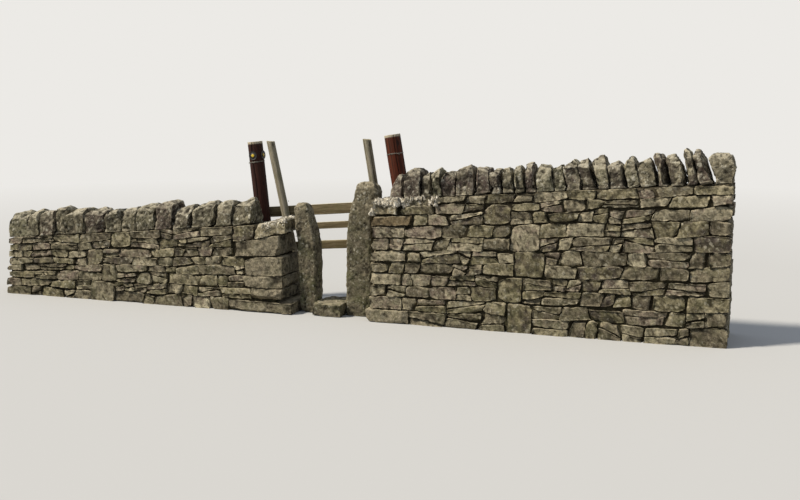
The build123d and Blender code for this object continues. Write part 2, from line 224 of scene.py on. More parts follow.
@dataclass(frozen=True)
class FieldGritstone:
    """Gritstone split by hand and left in the open: matt, gritty, with lichen and algae.

    The eye sees a grey-brown stone whose tone changes from block to block, dark in its pits and
    joints with dirt and painted shade, with painted shade in its hollows, pale along its worn edges
    and where it faces the sky with bleaching, lichen and a painted highlight, speckled with round and
    crusty lichens and greener low down.
    """

    name: str
    tones: tuple[str, ...]
    # The colour laid in the pits (dirt and painted shade) and in the concave hollows (painted shade)
    dirt_and_shade: str = "#1f1b14"
    # The colour laid along edges and on faces towards the sky: bleaching and lichen with a painted
    # highlight
    bleach_and_highlight: str = "#b4ab94"
    lichen: str = "#cbc7b5"
    algae: str = "#5c6140"
    # How far faces towards the sky are paled, partly as a painted highlight
    upward_bleach_and_highlight_share: float = 0.65
    # How far convex edges are paled, partly as a painted highlight
    rim_share: float = 0.6
    lichen_share: float = 0.5
    crust_share: float = 0.4
    algae_share: float = 0.35
    # How far pits and hollows are darkened, as dirt and painted shade
    dirt_and_shade_share: float = 0.8
    contrast: float = 1.0
    mottle_mm: float = 90.0
    grit_mm: float = 13.0
    bed_mm: float = 16.0
    lichen_mm: float = 42.0
    patch_mm: float = 150.0
    relief_mm: float = 11.0

    def material(self) -> bpy.types.Material:
        """Builds the stone's nodes.

        Returns:
            The material.
        """
        made, node = started(self.name)
        coord = node("TexCoord", output="Object")
        tone, pit, rim = (
            node("Attribute", output="Fac", attribute_name=key) for key in ("tone", "pit", "rim")
        )
        away = node("VectorMath", {0: (31.7, 17.3, 23.1), "Scale": tone}, operation="SCALE")
        place = node("VectorMath", (coord, away), operation="ADD")
        layered = node("Mapping", {"Vector": place, "Scale": (0.1, 0.1, 1.0)})
        # Real grit is about a millimetre; it is drawn coarser so that it shows at this size
        mottle, grit, patches, crumbs, beds = (
            node("TexNoise", {"Vector": where, "Scale": 1000 / size, "Detail": fine, "Roughness": 0.65})
            for where, size, fine in (
                (place, self.mottle_mm, 6.0),
                (place, self.grit_mm, 4.0),
                (place, self.patch_mm, 4.0),
                (place, 3.2 * self.grit_mm, 5.0),
                (layered, self.bed_mm, 2.0),
            )
        )
        steps = len(self.tones) - 1
        stops = [(number / steps, colour) for number, colour in enumerate(self.tones)]
        pick = node("Math", (tone, node("MapRange", (mottle, 0.3, 0.7, -0.14, 0.14))), operation="ADD")
        colour = node("ValToRGB", (pick,), stops=stops)
        swing = 0.3 * self.contrast
        light = node("MapRange", (mottle, 0.32, 0.68, 1 - swing, 1 + swing))
        for noise, swing in ((crumbs, 0.42), (grit, 0.38), (beds, 0.16)):
            swing *= self.contrast
            part = node("MapRange", (noise, 0.34, 0.66, 1 - swing, 1 + swing))
            light = node("Math", (light, part), operation="MULTIPLY")
        colour = node("VectorMath", {0: colour, "Scale": light}, operation="SCALE")
        upward = node("SeparateXYZ", (node("NewGeometry", output="Normal"),), "Z")
        height = node("MapRange", (node("SeparateXYZ", (coord,), "Z"), 1.4, 0.2, 0.0, 1.0))
        green = node("MapRange", (patches, 0.42, 0.64, 0.0, self.algae_share))
        green = node("Math", (green, height), operation="MULTIPLY")
        # Faces towards the sky are paled: bleaching, with a painted highlight
        sky = node("MapRange", (upward, 0.2, 0.85, 0.0, self.upward_bleach_and_highlight_share))
        sky = node("Math", (sky, node("MapRange", (crumbs, 0.36, 0.56))), operation="MULTIPLY")
        # Convex edges are paled: wear and lichen, with a painted highlight
        edge = node("MapRange", (rim, 0.15, 0.8, 0.0, self.rim_share))
        edge = node("Math", (edge, node("MapRange", (mottle, 0.4, 0.6))), operation="MULTIPLY")
        crust = self.lichens(node, place, crumbs, patches)
        # Pits are darkened as dirt and painted shade; concave hollows are darkened as painted shade
        dirt_and_shade = node("MapRange", (pit, 0.5, 0.84, 0.0, self.dirt_and_shade_share))
        hollow = node("MapRange", (rim, -0.1, -0.7, 0.0, self.dirt_and_shade_share))
        growth_bleach_and_highlight = ((green, self.algae), (edge, self.bleach_and_highlight), (sky, self.bleach_and_highlight), (crust, self.lichen))
        colour = coated(node, colour, *growth_bleach_and_highlight, (dirt_and_shade, self.dirt_and_shade), (hollow, self.dirt_and_shade))
        relief = node("Math", (crumbs, 0.6, mottle), operation="MULTIPLY_ADD")
        relief = node("Math", (grit, 0.25, relief), operation="MULTIPLY_ADD")
        relief = node("Math", (crust, 0.15, relief), operation="MULTIPLY_ADD")
        gloss = node("MapRange", (grit, 0.3, 0.7, 0.98, 0.84))
        surfaced(node, colour, gloss, relief, self.relief_mm, Specular_IOR_Level=0.2)
        return made

    def lichens(self, node: Node, place: Socket, crumbs: Socket, patches: Socket) -> Socket:
        """Ragged round lichens of many sizes, and crusts between them, which gather in patches.

        Args:
            node: The call that adds a node.
            place: Where on the stone.
            crumbs: Fine noise for the ragged edges.
            patches: Broad noise for where they gather.

        Returns:
            The share that lichen covers.
        """
        inputs = {"Vector": place, "Scale": 1000 / self.lichen_mm, "Randomness": 1.0}
        distance = node("TexVoronoi", inputs, "Distance")
        chance = node("SeparateXYZ", (distance.node.outputs["Color"],), "X")
        radius = node("MapRange", (chance, 0.35, 1.0, 0.0, 0.5))
        edge = node("Math", (radius, distance), operation="SUBTRACT")
        edge = node("Math", (edge, node("MapRange", (crumbs, 0.3, 0.7, -0.16, 0.16))), operation="ADD")
        round_ones = node("MapRange", (edge, 0.0, 0.08, 0.0, self.lichen_share))
        gathered = node("MapRange", (patches, 0.43, 0.58))
        round_ones = node("Math", (round_ones, gathered), operation="MULTIPLY")
        inputs = {"Vector": place, "Scale": 1700 / self.lichen_mm, "Detail": 7.0, "Roughness": 0.7}
        crusts = node("MapRange", (node("TexNoise", inputs), 0.56, 0.63, 0.0, self.crust_share))
        return node("Math", (round_ones, crusts), operation="MAXIMUM")


@dataclass(frozen=True)
class OutdoorTimber:
    """Round or sawn softwood left outdoors: silvered, checked along the grain, dirty at the ends.

    The eye sees long streaks along the grain, dark knots and checks, rings on the cut ends, and faces
    that turn upwards paled by weathering and a painted highlight.
    """

    name: str
    heart: str
    light: str
    streak: str
    end: str
    end_dark: str
    algae: str = "#6b6f4a"
    algae_share: float = 0.25
    # The colour of bleached fibres, and of faces that turn upwards, where it is also a painted highlight
    bleach_and_highlight: str = "#cdc4a6"
    # How far faces that turn upwards are paled, partly as a painted highlight
    upward_bleach_and_highlight_share: float = 0.6
    fibre_mm: float = 7.0
    ring_mm: float = 5.0
    knot_mm: float = 105.0

    def material(self) -> bpy.types.Material:
        """Builds the timber's nodes.

        Returns:
            The material.
        """
        made, node = started(self.name)
        grain = node("Attribute", output="Vector", attribute_name="grain")
        end, pit = (node("Attribute", output="Fac", attribute_name=key) for key in ("end", "pit"))
        drawn = node("Mapping", {"Vector": grain, "Scale": (1.0, 1.0, 0.035)})
        # Real fibres are under a millimetre; they are drawn coarser so that they show at this size
        fibres, broad, stain = (
            node("TexNoise", {"Vector": where, "Scale": 1000 / size, "Detail": 5.0, "Roughness": 0.65})
            for where, size in ((drawn, self.fibre_mm), (drawn, 6 * self.fibre_mm), (grain, 110.0))
        )
        upward = node("SeparateXYZ", (node("NewGeometry", output="Normal"),), "Z")
        knot_place = node("Mapping", {"Vector": grain, "Scale": (1.0, 1.0, 0.5)})
        knot = node("TexVoronoi", {"Vector": knot_place, "Scale": 1000 / self.knot_mm}, "Distance")
        side = coated(
            node,
            self.heart,
            (node("MapRange", (broad, 0.38, 0.62)), self.light),
            (node("MapRange", (fibres, 0.5, 0.68, 0.0, 0.85)), self.streak),
            (node("MapRange", (fibres, 0.44, 0.34, 0.0, 0.35)), self.bleach_and_highlight),
            # Faces that turn upwards are paled: weathering, with a painted highlight on the lit tops
            (node("MapRange", (upward, 0.3, 0.85, 0.0, self.upward_bleach_and_highlight_share)), self.bleach_and_highlight),
            (node("MapRange", (stain, 0.48, 0.66, 0.0, self.algae_share)), self.algae),
            (node("MapRange", (knot, 0.1, 0.19, 0.8, 0.0)), self.streak),
            (node("MapRange", (pit, 0.3, 0.85, 0.0, 0.9)), self.streak),
        )
        flat = node("Mapping", {"Vector": grain, "Scale": (1.0, 1.0, 0.0)})
        radius = node("VectorMath", (flat,), "Value", operation="LENGTH")
        wavy = node("Math", (stain, 0.012, radius), operation="MULTIPLY_ADD")
        phase = node("Math", (wavy, 2 * math.pi * 1000 / self.ring_mm), operation="MULTIPLY")
        rings = node("Math", (phase,), operation="SINE")
        cut = coated(
            node,
            self.end,
            (node("MapRange", (rings, -0.4, 0.9, 0.0, 0.5)), self.end_dark),
            (node("MapRange", (pit, 0.3, 0.8, 0.0, 0.8)), self.end_dark),
        )
        gloss = node("MapRange", (fibres, 0.3, 0.7, 0.92, 0.74))
        relief = node("Math", (broad, 0.6, fibres), operation="MULTIPLY_ADD")
        surfaced(node, coated(node, side, (end, cut)), gloss, relief, 3.0, Specular_IOR_Level=0.25)
        return made


@dataclass(frozen=True)
class MouldedPolythene:
    """A moulded plastic disc after years outside: satin, chalky, with dust in its grain."""

    name: str
    base: str
    faded: str
    fade_mm: float = 18.0
    grain_mm: float = 1.5

    def material(self) -> bpy.types.Material:
        """Builds the plastic's nodes.

        Returns:
            The material.
        """
        made, node = started(self.name)
        coord = node("TexCoord", output="Object")
        grain, fade = (
            node("TexNoise", {"Vector": coord, "Scale": 1000 / size, "Detail": 4.0})
            for size in (self.grain_mm, self.fade_mm)
        )
        colour = coated(node, self.base, (node("MapRange", (fade, 0.42, 0.7, 0.0, 0.6)), self.faded))
        gloss = node("MapRange", (fade, 0.3, 0.7, 0.45, 0.65))
        surfaced(node, colour, gloss, grain, 0.2, IOR=1.5)
        return made


@dataclass(frozen=True)
class DullMetal:
    """Galvanised wire or rusted nails: metal under a dull patchy coat."""

    name: str
    bright: str
    coat: str
    metallic: float
    roughness: float
    patch_mm: float = 4.0

    def material(self) -> bpy.types.Material:
        """Builds the metal's nodes.

        Returns:
            The material.
        """
        made, node = started(self.name)
        coord = node("TexCoord", output="Object")
        patch = node("TexNoise", {"Vector": coord, "Scale": 1000 / self.patch_mm, "Detail": 5.0})
        colour = coated(node, self.bright, (node("MapRange", (patch, 0.4, 0.62)), self.coat))
        gloss = node("MapRange", (patch, 0.3, 0.7, self.roughness, 0.85))
        surfaced(node, colour, gloss, patch, 0.3, Metallic=self.metallic)
        return made


WALLING = FieldGritstone(
    "walling_gritstone",
    tones=("#574f4a", "#746e57", "#958e76", "#655e51", "#7f7866", "#a39c86", "#776a61", "#b0a992"),
    dirt_and_shade="#2b271d", dirt_and_shade_share=0.65, rim_share=0.4, crust_share=0.45,
)
QUOIN = FieldGritstone(
    "quoin_gritstone",
    tones=("#827b6a", "#918977", "#9d9581", "#89816f"),
    lichen_share=0.3, crust_share=0.3, algae_share=0.3,
    mottle_mm=110.0, contrast=1.1,
)
COPING = FieldGritstone(
    "coping_gritstone",
    tones=("#524a44", "#666253", "#807a68", "#594d4a", "#8a8571", "#5b5a4a"),
    bleach_and_highlight="#c4beab", upward_bleach_and_highlight_share=0.8, rim_share=0.85,
    lichen="#d4d1c2", lichen_share=0.8, crust_share=0.6,
    lichen_mm=50.0, contrast=1.25,
)
STOOP = FieldGritstone(
    "stoop_gritstone",
    tones=("#605b4e", "#706a5a", "#7c7564"),
    lichen="#d0cdbe", lichen_share=0.7, crust_share=0.45, algae_share=0.7,
    lichen_mm=34.0, bed_mm=60.0, contrast=0.7,
)
CAPPING = FieldGritstone(
    "capping_gritstone",
    tones=("#7f7761", "#8f8771", "#9f977f"),
    bleach_and_highlight="#d3ccb8", upward_bleach_and_highlight_share=1.0, rim_share=0.9, algae_share=0.15,
    lichen="#dcd9cb", lichen_share=0.9, crust_share=0.85, lichen_mm=75.0,
)
CRUSTED_CAPPING = replace(
    CAPPING, name="crusted_gritstone", tones=("#9b927b", "#aca48e", "#bbb39d"),
    crust_share=1.0, dirt_and_shade="#4a4436",
)
BROWN_BED = FieldGritstone(
    "brown_sandstone",
    tones=("#5b4f3d", "#695c48", "#766953"),
    lichen_share=0.15, crust_share=0.1, algae_share=0.15,
    bed_mm=9.0, contrast=0.8,
)
# Thick crusts of lichen, under which no stone shows
CRUST = FieldGritstone(
    "thick_lichen_crust",
    tones=("#bfb6a4", "#d8d1c2", "#e6e1d5"),
    lichen="#efede4", bleach_and_highlight="#e4e1d6", algae_share=0.05, dirt_and_shade_share=0.25,
    mottle_mm=40.0, contrast=0.5,
)
# Darker than the face stones: dirt and painted shade in the joints
HEARTING = FieldGritstone(
    "hearting_rubble",
    tones=("#302b21", "#393428", "#433d2f"),
    lichen_share=0.0, crust_share=0.0, upward_bleach_and_highlight_share=0.1, rim_share=0.1, algae_share=0.2,
)
LEFT_POST_TIMBER = OutdoorTimber(
    "stained_post_timber",
    heart="#291816", light="#3f211b", streak="#170d0c", end="#c9c0ab", end_dark="#8f8068",
    algae="#3d3328", algae_share=0.2, bleach_and_highlight="#6b4a3a", upward_bleach_and_highlight_share=0.4, fibre_mm=9.0,
)
# The right post's copy of the timber, lighter and oranger: painted sunlight on the post
RIGHT_POST_TIMBER = replace(
    LEFT_POST_TIMBER, name="sunlit_post_timber", heart="#2e1a13", light="#6b311d", streak="#190e0a"
)
POLE_TIMBER = OutdoorTimber(
    "bleached_pole_timber",
    heart="#8a8471", light="#b3ac9b", streak="#565041", end="#b9b29a", end_dark="#6b624c",
    algae="#6b6e4c", algae_share=0.35, fibre_mm=6.0,
)
RAIL_TIMBER = OutdoorTimber(
    "sawn_rail_timber",
    heart="#63573f", light="#978a6c", streak="#3a3226", end="#8d8166", end_dark="#564a36",
    algae="#6b6c46", algae_share=0.35, upward_bleach_and_highlight_share=0.9, fibre_mm=6.0,
)
DISC_PLASTIC = MouldedPolythene("black_polythene", base="#0e0e10", faded="#212124")
DOT_PLASTIC = MouldedPolythene("yellow_polythene", base="#e6c62a", faded="#d9c766")
WIRE_STEEL = DullMetal("galvanised_wire", "#7f807b", "#9c9b92", 0.9, 0.5)
NAIL_STEEL = DullMetal("rusted_nail", "#5b3a26", "#3b2519", 0.6, 0.6)

Finish = FieldGritstone | OutdoorTimber | MouldedPolythene | DullMetal


@lru_cache(maxsize=None)
def material_of(finish: Finish) -> bpy.types.Material:
    """Gives a finish's material, which is made once."""
    return finish.material()


# Noise on meshes

# The lattice's random values come from a hash of each cell's place and the seed
HASH_PRIMES = np.array((374761393, 668265263, 1442695041), np.int64)
HASH_SEED, HASH_MIX, HASH_MASK = 974634777, 1274126177, np.int64(0xFFFFFFFF)
# What each finer octave of the noise has of the strength and the wavelength of the one before
OCTAVE_STRENGTH, OCTAVE_LENGTH, OCTAVE_SEED_STEP = 0.5, 0.47, 17
NOISE_CONTRAST = 0.75


def lattice_noise(points: np.ndarray, wavelength: float, seed: int) -> np.ndarray:
    """Smooth noise on a lattice of random values.

    Args:
        points: Places, one row each.
        wavelength: Size of a lattice cell.
        seed: Which noise of many.

    Returns:
        A value from -1 to 1 for each point.
    """
    scaled = points / wavelength
    cell = np.floor(scaled)
    part = scaled - cell
    ease = part**3 * (part * (part * 6 - 15) + 10)
    cell = cell.astype(np.int64)
    total = np.zeros(len(points))
    for corner in np.ndindex(2, 2, 2):
        mixed = ((cell + np.array(corner)) * HASH_PRIMES).sum(axis=1) + seed * HASH_SEED & HASH_MASK
        mixed = (mixed ^ (mixed >> 13)) * HASH_MIX & HASH_MASK
        mixed = mixed ^ (mixed >> 16)
        weight = np.prod(np.where(corner, ease, 1 - ease), axis=1)
        total += weight * (2 * mixed / HASH_MASK - 1)
    return total


def fractal_noise(points: np.ndarray, wavelength: float, seed: int, octaves: int = 2) -> np.ndarray:
    """Lattice noise with finer noise added to it.

    Args:
        points: Places, one row each.
        wavelength: Size of the coarsest lattice cell.
        seed: Which noise of many.
        octaves: How many sizes of noise are added.

    Returns:
        A value from 0 to 1 for each point.
    """
    total = np.zeros(len(points))
    reach = 0.0
    for octave in range(octaves):
        share, length = OCTAVE_STRENGTH**octave, wavelength * OCTAVE_LENGTH**octave
        total += share * lattice_noise(points, length, seed + OCTAVE_SEED_STEP * octave)
        reach += share
    return np.clip(0.5 + NOISE_CONTRAST * total / reach, 0.0, 1.0)


@dataclass(frozen=True)
class Wear:
    """How the skin of a stone is worn back from its outline.

    Args:
        deep: Depth of the broad hollows.
        broad: Distance between them.
        shallow: Depth of the small pits.
        close: Distance between them.
    """

    deep: float
    broad: float
    shallow: float
    close: float


# Meshes

# How strongly a block's grid crowds towards its edges
CROWDING = 0.45
# What spalls keep of their tilt about one axis, and the shallowest as a share of the deepest
SPALL_TILT, SHALLOWEST_SPALL = 0.25, 0.3
# In cells of the mesh: what counts as a sharp edge and what as a thorn, and how far a thorn is drawn in
SHARP_EDGE, THORN, DRAWN_IN = 0.3, 0.4, 0.7


def finer(full: float, quick: float) -> float:
    """Gives a cell size or a number of cells: always the one for full runs; the one for quick runs is
    not used.
    """
    return full


@lru_cache(maxsize=None)
def skin_grid(columns: int, layers: int, rows: int) -> tuple[np.ndarray, np.ndarray]:
    """The grid on the skin of a block, with points closer together towards the edges.

    Args:
        columns: Cells along X.
        layers: Cells along Y.
        rows: Cells along Z.

    Returns:
        Points from -1 to 1 on each axis, and quads facing outwards.
    """
    counts = (columns, layers, rows)
    index: dict[tuple[int, ...], int] = {}
    points: list[list[float]] = []

    def number(at: list[int]) -> int:
        """Numbers a lattice point, and makes it if it is new.

        Args:
            at: The point's place on the lattice.

        Returns:
            Its number.
        """
        key = tuple(at)
        if key not in index:
            index[key] = len(points)
            steps = [2 * a / n - 1 for a, n in zip(at, counts)]
            points.append([(1 - CROWDING) * s + CROWDING * math.sin(s * math.pi / 2) for s in steps])
        return index[key]

    quads = []
    for axis in range(3):
        across, up = (axis + 1) % 3, (axis + 2) % 3
        for end, i, j in np.ndindex(2, counts[across], counts[up]):
            ring = []
            for di, dj in ((0, 0), (1, 0), (1, 1), (0, 1)):
                at = [0, 0, 0]
                at[axis], at[across], at[up] = end * counts[axis], i + di, j + dj
                ring.append(number(at))
            quads.append(ring if end else ring[::-1])
    return np.array(points), np.array(quads)


def rounded(grid: np.ndarray, half: np.ndarray, radius: float) -> np.ndarray:
    """Rounds the edges of a block's skin.

    Args:
        grid: Points from -1 to 1 on each axis.
        half: Half the block's size on each axis.
        radius: How far the edges are rounded.

    Returns:
        The points at the block's size, about its middle.
    """
    reach = min(radius, 0.9 * float(half.min()))
    metric = grid * half
    inner = np.clip(metric, -(half - reach), half - reach)
    out = metric - inner
    length = np.linalg.norm(out, axis=1, keepdims=True)
    return inner + out / np.maximum(length, 1e-9) * reach * (length > 1e-9)


def spalled(points: np.ndarray, draw: np.random.Generator, cuts: int, deepest: float) -> np.ndarray:
    """Knocks flat spalls off a stone's edges and corners.

    Args:
        points: The stone's skin.
        draw: The random source.
        cuts: How many spalls.
        deepest: The deepest one.

    Returns:
        The points, pressed back to the cut planes.
    """
    middle = (points.min(0) + points.max(0)) / 2
    local = points - middle
    for _ in range(cuts):
        way = draw.normal(size=3)
        way[int(draw.integers(3))] *= SPALL_TILT
        way /= np.linalg.norm(way)
        height = local @ way
        over = height - (height.max() - deepest * draw.uniform(SHALLOWEST_SPALL, 1.0))
        local = local - np.maximum(over, 0)[:, None] * way
    return local + middle


def vertex_normals(points: np.ndarray, quads: np.ndarray) -> np.ndarray:
    """Outward normals of a mesh of quads.

    Args:
        points: The mesh's points.
        quads: Its faces.

    Returns:
        One unit normal for each point.
    """
    first, second, third, fourth = (points[quads[:, corner]] for corner in range(4))
    flat = np.cross(third - first, fourth - second)
    total = np.zeros_like(points)
    for corner in range(4):
        np.add.at(total, quads[:, corner], flat)
    return total / np.maximum(np.linalg.norm(total, axis=1, keepdims=True), 1e-12)


def mesh_object(
    name: str,
    points: np.ndarray,
    faces: Faces,
    values: dict[str, np.ndarray] | None = None,
    grain: np.ndarray | None = None,
) -> Piece:
    """Makes a smooth-shaded object from arrays.

    Args:
        name: The object's name.
        points: Its points.
        faces: Its faces.
        values: One value for each point, by attribute name.
        grain: Each point's place in the piece's own axes, with Z along the grain.

    Returns:
        The object, linked to the scene.
    """
    mesh = bpy.data.meshes.new(name)
    mesh.from_pydata(points.tolist(), [], faces)
    mesh.update()
    for key, column in (values or {}).items():
        layer = mesh.attributes.new(key, "FLOAT", "POINT")
        layer.data.foreach_set("value", column.astype(np.float32))
    if grain is not None:
        layer = mesh.attributes.new("grain", "FLOAT_VECTOR", "POINT")
        layer.data.foreach_set("vector", grain.astype(np.float32).ravel())
    mesh.polygons.foreach_set("use_smooth", np.ones(len(mesh.polygons), bool))
    obj = bpy.data.objects.new(name, mesh)
    bpy.context.scene.collection.objects.link(obj)
    return obj


def neighbour_means(points: np.ndarray, quads: np.ndarray) -> np.ndarray:
    """Takes the mean of the neighbours of each point of a closed mesh of quads.

    Args:
        points: The mesh's points.
        quads: Its faces.

    Returns:
        A place for each point.
    """
    here = np.concatenate([quads, np.roll(quads, 1, axis=1)]).ravel()
    there = np.concatenate([np.roll(quads, 1, axis=1), quads]).ravel()
    count = np.maximum(np.bincount(here, minlength=len(points)), 1)
    sums = [np.bincount(here, points[there, axis], len(points)) for axis in range(3)]
    return np.stack(sums, axis=1) / count[:, None]


def cell_size(points: np.ndarray, quads: np.ndarray) -> float:
    """The mean length of the first edge of each quad."""
    return np.linalg.norm(points[quads[:, 0]] - points[quads[:, 1]], axis=1).mean()


def convexity(points: np.ndarray, quads: np.ndarray) -> np.ndarray:
    """Tells the edges of a mesh of quads from its hollows.

    Args:
        points: The mesh's points.
        quads: Its faces.

    Returns:
        A value for each point, from -1 in a sharp hollow to 1 on a sharp edge.
    """
    offset = points - neighbour_means(points, quads)
    sharp = SHARP_EDGE * cell_size(points, quads)
    return np.clip((offset * vertex_normals(points, quads)).sum(1) / sharp, -1, 1)


def without_spikes(points: np.ndarray, quads: np.ndarray, passes: int = 3) -> np.ndarray:
    """Draws in the points that stick out from their neighbours like thorns.

    Args:
        points: The mesh's points.
        quads: Its faces.
        passes: How often this is done.

    Returns:
        The points.
    """
    longest = THORN * cell_size(points, quads)
    for _ in range(passes):
        means = neighbour_means(points, quads)
        far = np.linalg.norm(points - means, axis=1) > longest
        points = np.where(far[:, None], (1 - DRAWN_IN) * points + DRAWN_IN * means, points)
    return points


@dataclass
class Pile:
    """Blocks that make one piece, with a tone for each block.

    Args:
        points: Each block's points.
        quads: Each block's faces, numbered through the whole pile.
        tones: Each block's tone, once for each of its points.
        count: How many points there are.
        spread: How far apart in the noise the blocks with the least and the most tone lie.
        broad_share: What the broad hollows give to how deep a point lies; the small pits give the rest.
    """

    points: list[np.ndarray] = field(default_factory=list)
    quads: list[np.ndarray] = field(default_factory=list)
    tones: list[np.ndarray] = field(default_factory=list)
    count: int = 0
    spread: float = 3.7
    broad_share: float = 0.45

    def add(self, points: np.ndarray, quads: np.ndarray, tone: float) -> None:
        """Adds one block.

        Args:
            points: Its points.
            quads: Its faces.
            tone: Its own tone, from 0 to 1.
        """
        self.points.append(points)
        self.quads.append(quads + self.count)
        self.tones.append(np.full(len(points), tone))
        self.count += len(points)

    def worn(self, wear: Wear, seed: int) -> tuple[np.ndarray, np.ndarray]:
        """Wears the skin back from its outline.

        Args:
            wear: How it is worn.
            seed: Which noise wears it.

        Returns:
            The worn points, and how deep each lies, from 0 to 1.
        """
        points, tones = np.concatenate(self.points), np.concatenate(self.tones)
        normals = vertex_normals(points, np.concatenate(self.quads))
        shifted = points + tones[:, None] * self.spread
        broad = fractal_noise(shifted, wear.broad, seed)
        close = fractal_noise(shifted, wear.close, seed + 5)
        worn = points - normals * (wear.deep * broad + wear.shallow * close)[:, None]
        return worn, self.broad_share * broad + (1 - self.broad_share) * close

    def piece(self, name: str, points: np.ndarray, pits: np.ndarray) -> Piece:
        """Makes the Blender object.

        Args:
            name: The object's name.
            points: The worn points.
            pits: How deep each lies, from 0 to 1.

        Returns:
            The object.
        """
        quads = np.concatenate(self.quads)
        values = {"tone": np.concatenate(self.tones), "pit": pits, "rim": convexity(points, quads)}
        return mesh_object(name, points, quads.tolist(), values)


def settle(obj: Piece, finish: Finish, slot: Slot, *nodes: str) -> Piece:
    """Dresses a piece, puts it on the body and hides the nodes that it stands for.

    Args:
        obj: The piece.
        finish: Its finish.
        slot: Not used.
        nodes: The nodes that it replaces.

    Returns:
        The piece.
    """
    obj.data.materials.append(material_of(finish))
    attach(obj, BODY)
    if nodes:
        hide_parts(*nodes)
    return obj


def welded(node: str) -> tuple[np.ndarray, np.ndarray]:
    """Joins the points of a CAD node that lie in one place.

    Args:
        node: The node's name.

    Returns:
        The separate points, and which of them each of the node's own points is.
    """
    points = np.array([v.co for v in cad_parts[node].data.vertices], float)
    places = np.round(points / WELD)
    _, first, same = np.unique(places, axis=0, return_index=True, return_inverse=True)
    return points[first], same.ravel()


def corners_of(node: str) -> np.ndarray:
    """The separate points of a CAD node."""
    return welded(node)[0]


def solids_of(node: str) -> list[Shape]:
    """Splits a CAD node into its separate solids.

    Args:
        node: The node's name.

    Returns:
        Points and faces of each solid, in order along X.
    """
    points, same = welded(node)
    group = list(range(len(points)))

    def root(item: int) -> int:
        """Finds the first point of a group.

        Args:
            item: Any point of the group.

        Returns:
            The first point.
        """
        while group[item] != item:
            group[item] = group[group[item]]
            item = group[item]
        return item

    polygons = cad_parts[node].data.polygons
    faces = [[int(same[v]) for v in polygon.vertices] for polygon in polygons]
    for face in faces:
        for corner in face[1:]:
            group[root(corner)] = root(face[0])
    gathered: dict[int, Faces] = {}
    for face in faces:
        gathered.setdefault(root(face[0]), []).append(face)
    solids = []
    for own in gathered.values():
        used = sorted({corner for face in own for corner in face})
        renumber = {old: new for new, old in enumerate(used)}
        solids.append((points[used], [[renumber[corner] for corner in face] for face in own]))
    return sorted(solids, key=lambda solid: solid[0][:, 0].mean())


def remeshed(points: np.ndarray, faces: Faces, voxel: float) -> tuple[np.ndarray, np.ndarray]:
    """Covers a closed solid with an even grid of quads.

    Args:
        points: The solid's points.
        faces: Its faces.
        voxel: Size of the new quads.

    Returns:
        The new points and quads.
    """
    mesh = bpy.data.meshes.new("remesh_source")
    mesh.from_pydata(points.tolist(), [], faces)
    obj = bpy.data.objects.new("remesh_source", mesh)
    bpy.context.scene.collection.objects.link(obj)
    change = obj.modifiers.new("even", "REMESH")
    change.mode = "VOXEL"
    change.voxel_size = voxel
    shown = obj.evaluated_get(bpy.context.evaluated_depsgraph_get())
    done = shown.to_mesh()
    flat = np.zeros(len(done.vertices) * 3, np.float32)
    done.vertices.foreach_get("co", flat)
    quads = np.zeros(len(done.polygons) * 4, np.int32)
    done.polygons.foreach_get("vertices", quads)
    shown.to_mesh_clear()
    bpy.data.objects.remove(obj)
    bpy.data.meshes.remove(mesh)
    return flat.reshape(-1, 3).astype(float), quads.reshape(-1, 4)


def lathe(profile: Profile, radius: float, height: float, around: int) -> Shape:
    """Turns an outline about Z to a closed shape.

    Args:
        profile: Radius and height of each ring, as shares, from the back to the front.
        radius: The radius of the shape.
        height: Its height.
        around: Points in a ring.

    Returns:
        Points and faces.
    """
    turn = np.linspace(0, 2 * math.pi, around, endpoint=False)
    circle = np.stack([np.cos(turn), np.sin(turn), 0 * turn], axis=1)
    rings = [share * radius * circle + rise * height * UP for share, rise in profile]
    return np.concatenate(rings), ring_faces(len(rings), around)


def ring_faces(count: int, around: int) -> Faces:
    """Faces between rings of points that follow each other, with a face to close each end.

    Args:
        count: How many rings.
        around: Points in a ring.

    Returns:
        The faces.
    """
    faces = [list(range(around))[::-1]]
    for layer in range(count - 1):
        for at in range(around):
            low, beside = layer * around + at, layer * around + (at + 1) % around
            faces.append([low, beside, beside + around, low + around])
    faces.append(list(range((count - 1) * around, count * around)))
    return faces


def joined(shapes: Sequence[Shape]) -> Shape:
    """Puts several shapes into one.

    Args:
        shapes: Points and faces of each.

    Returns:
        Points and faces of them all.
    """
    starts = np.cumsum([0, *(len(points) for points, _ in shapes)])
    faces = [
        [start + corner for corner in face]
        for start, (_, own) in zip(starts.tolist(), shapes)
        for face in own
    ]
    return np.concatenate([points for points, _ in shapes]), faces


def tube(path: np.ndarray, radius: float, sides: int) -> Shape:
    """Makes a round tube along a path, closed at both ends.

    Args:
        path: Points along its middle.
        radius: Its radius.
        sides: Points around it.

    Returns:
        Points and faces.
    """
    along = np.gradient(path, axis=0)
    along /= np.linalg.norm(along, axis=1, keepdims=True)
    turn = np.linspace(0, 2 * math.pi, sides, endpoint=False)
    across = np.cross(along[0], (0.3, 0.5, 0.8))
    rings = []
    for place, way in zip(path, along):
        across = across - way * np.dot(across, way)
        across /= np.linalg.norm(across)
        beside = np.cross(way, across)
        rings.append(place + radius * (np.cos(turn)[:, None] * across + np.sin(turn)[:, None] * beside))
    return np.concatenate(rings), ring_faces(len(rings), sides)


def facing(points: np.ndarray, centre: np.ndarray, way: np.ndarray) -> np.ndarray:
    """Turns a shape made about Z to face another way.

    Args:
        points: The shape's points.
        centre: Where its middle goes.
        way: Where its Z goes.

    Returns:
        The turned points.
    """
    side = np.cross(UP, way)
    if np.linalg.norm(side) < 1e-6:
        side = np.array((1.0, 0.0, 0.0))
    side /= np.linalg.norm(side)
    return centre + points @ np.stack([side, np.cross(way, side), way])


# Stonework

# A place in a course that holds one stone: its beds at the left and right, as shares of the course
ONE_STONE = ((0.0, 0.0), (1.0, 1.0))


